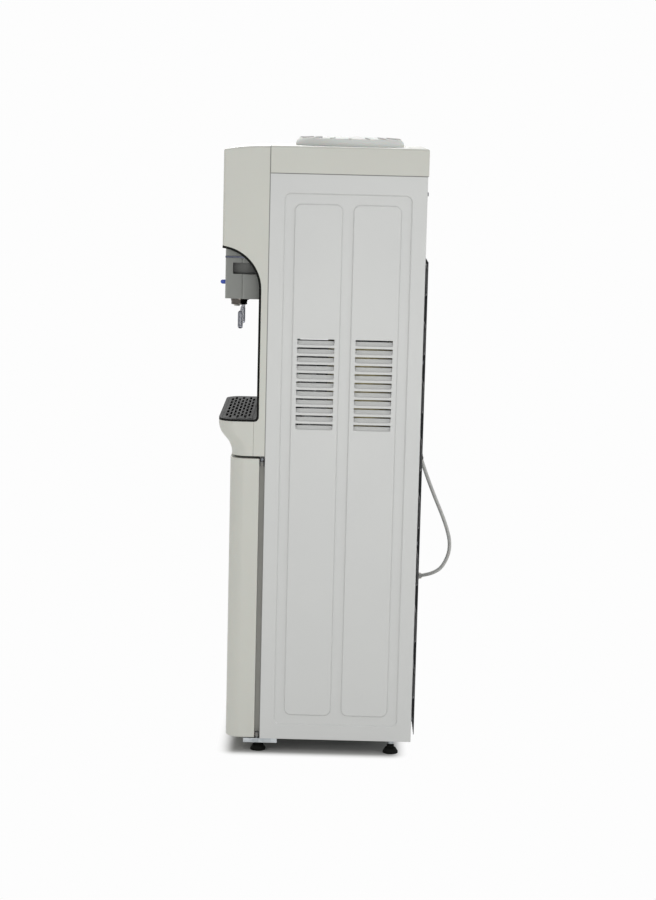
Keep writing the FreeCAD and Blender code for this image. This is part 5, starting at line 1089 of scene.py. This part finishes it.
@dataclass
class StrainRelief:
    """The ribbed elbow sleeve that holds the lead where it leaves the wall.

    The flange's rings are (distance out of the wall, radius). The ribs' are (share
    of one rib's length, inset from the sleeve's radius).
    """

    paint: PaintShop
    wall: float = 0.1753
    elbow: Vector = field(default_factory=lambda: Vector((-0.126, 0.1843, 0.516)))
    ahead: Vector = field(default_factory=lambda: Vector((0, 0.33, -0.944)).normalized())
    sleeve: float = 0.023
    sunk: float = 0.0005
    flange: Rings = ((0.0, 0.0090), (0.0024, 0.0088), (0.0026, 0.0062))
    radius: float = 0.0060
    taper: float = 0.0014
    tip_radius: float = 0.0044
    bend: float = 0.0055
    bulge: float = 0.55
    bend_steps: int = 5
    ribs: int = 6
    rib_rings: Rings = ((0.0, 0.0), (0.45, 0.0), (0.55, 0.0008), (0.92, 0.0008))

    def tip(self) -> Vector:
        """The point at which the lead leaves the sleeve."""
        return self.elbow + self.ahead * self.sleeve

    def build(self) -> list[Piece]:
        """Models the sleeve in the place of the solid gland.

        Returns:
            The pieces made.
        """
        out = Vector((0, 1, 0))
        start = Vector((self.elbow.x, self.wall - self.sunk, self.elbow.z))
        spots = [start + out * away for away, _ in self.flange]
        sizes = [radius for _, radius in self.flange]
        first = self.elbow - out * self.bend
        last = self.elbow + self.ahead * self.bend
        bulge = (self.elbow - (first + last) / 2) * self.bulge
        for step in range(self.bend_steps):
            share = step / self.bend_steps
            chord = first.lerp(last, share)
            spots.append(chord + bulge * (1 - (2 * share - 1) ** 2))
            sizes.append(self.radius)
        rib_length = (self.sleeve - self.bend) / self.ribs
        for rib in range(self.ribs):
            at = self.bend + (self.sleeve - self.bend) * rib / self.ribs
            size = self.radius - self.taper * rib / self.ribs
            for share, inset in self.rib_rings:
                spots.append(self.elbow + self.ahead * (at + rib_length * share))
                sizes.append(size - inset)
        spots.append(self.tip())
        sizes.append(self.tip_radius)
        piece = bar_mesh(round_bar("strain_relief", spots, sizes))
        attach(piece, "cabinet")
        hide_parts("cord_gland")
        self.paint.dress(piece, "black_rubber")
        return [piece]


@dataclass
class MainsLead:
    """The light grey lead: its free run, its wound rest and its sleeve."""

    paint: PaintShop
    diameter: float = 0.007
    first_straight: float = 0.048
    coil_x: float = -0.212
    coil_y: float = 0.060
    coil_radius: float = 0.048
    coil_pitch: float = 0.0076
    coil_turns: int = 5
    coil_tail: float = 0.045
    half_turn_points: int = 8
    length: float = 1.80

    def free_run(self, sleeve: StrainRelief) -> list[Vector]:
        """Gives the free lead's course down the back and out to the coil.

        Args:
            sleeve: the strain relief that it leaves.

        Returns:
            The points, from the sleeve's tip to the coil.
        """
        tip = sleeve.tip()
        coil_side = self.coil_x + self.coil_radius
        return [
            tip,
            tip + sleeve.ahead * self.first_straight,
            Vector((-0.127, 0.2440, 0.368)),
            Vector((-0.129, 0.2535, 0.324)),
            Vector((-0.130, 0.2400, 0.288)),
            Vector((-0.131, 0.2220, 0.2745)),
            Vector((-0.139, 0.2010, 0.2675)),
            Vector((-0.158, 0.1875, 0.2610)),
            Vector((-0.178, 0.1810, 0.250)),
            Vector((-0.190, 0.1720, 0.231)),
            Vector((-0.193, 0.1580, 0.206)),
            Vector((-0.191, 0.1510, 0.156)),
            Vector((-0.172, 0.1470, 0.068)),
            Vector((coil_side - 0.002, 0.1360, 0.027)),
            Vector((coil_side, 0.1080, 0.0065)),
            Vector((coil_side, 0.0860, 0.0035)),
            Vector((coil_side, 0.0670, 0.0035)),
        ]

    def wound(self) -> list[Vector]:
        """Winds the coil: in on the floor, up one layer, and out again.

        Returns:
            The points, as far as the plug.
        """
        step = self.coil_pitch / 2
        sizes = [self.coil_radius - step * turn for turn in range(self.coil_turns)]
        sizes += sizes[-2::-1]
        climb = len(sizes) // 2
        x, side, spots = self.coil_x + self.coil_radius, 1, []
        for turn, radius in enumerate(sizes):
            middle = x - side * radius
            for count in range(self.half_turn_points):
                share = count / self.half_turn_points
                angle = math.pi * share
                if turn == climb:
                    rise = share * share * (3 - 2 * share)
                else:
                    rise = float(turn > climb)
                spots.append(Vector((middle + side * radius * math.cos(angle),
                                     self.coil_y - side * radius * math.sin(angle),
                                     self.diameter / 2 + self.coil_pitch * rise)))
            x -= 2 * side * radius
            side = -side
        for share in (0.0, 0.5, 1.0):
            spots.append(Vector((x, self.coil_y + self.coil_tail * share,
                                 self.diameter / 2 + self.coil_pitch)))
        return spots

    def build(self) -> list[Piece]:
        """Returns:
            The pieces made.
        """
        sleeve = StrainRelief(self.paint)
        spots = self.free_run(sleeve) + self.wound()
        cord = round_bar("mains_lead", spots, [self.diameter / 2] * len(spots), "NURBS")
        spline = cord.data.splines[0]
        spline.order_u = 3
        spline.use_endpoint_u = True
        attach(cord, "cabinet")
        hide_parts("cord_tube", "cord_coil")
        self.paint.dress(cord, "grey_cord")
        made = [cord] + sleeve.build()
        return made


def main() -> None:
    """Builds the studio, dresses the solids and models the added pieces."""
    logging.basicConfig(level=logging.INFO, format="%(message)s")
    paint = PaintShop()
    Studio().build()
    made = MainsPlug(paint).build() + MainsLead(paint).build()
    paint.dress_nodes()
    made += Taps(paint).build() + HingeScrew(paint).build() + Condenser(paint).build()
    for piece in made:
        LOG.info("modelled %s", piece.name)
    LOG.info("dressed %d nodes", len(frame["nodes"]))


if __name__ == "__main__":
    main()
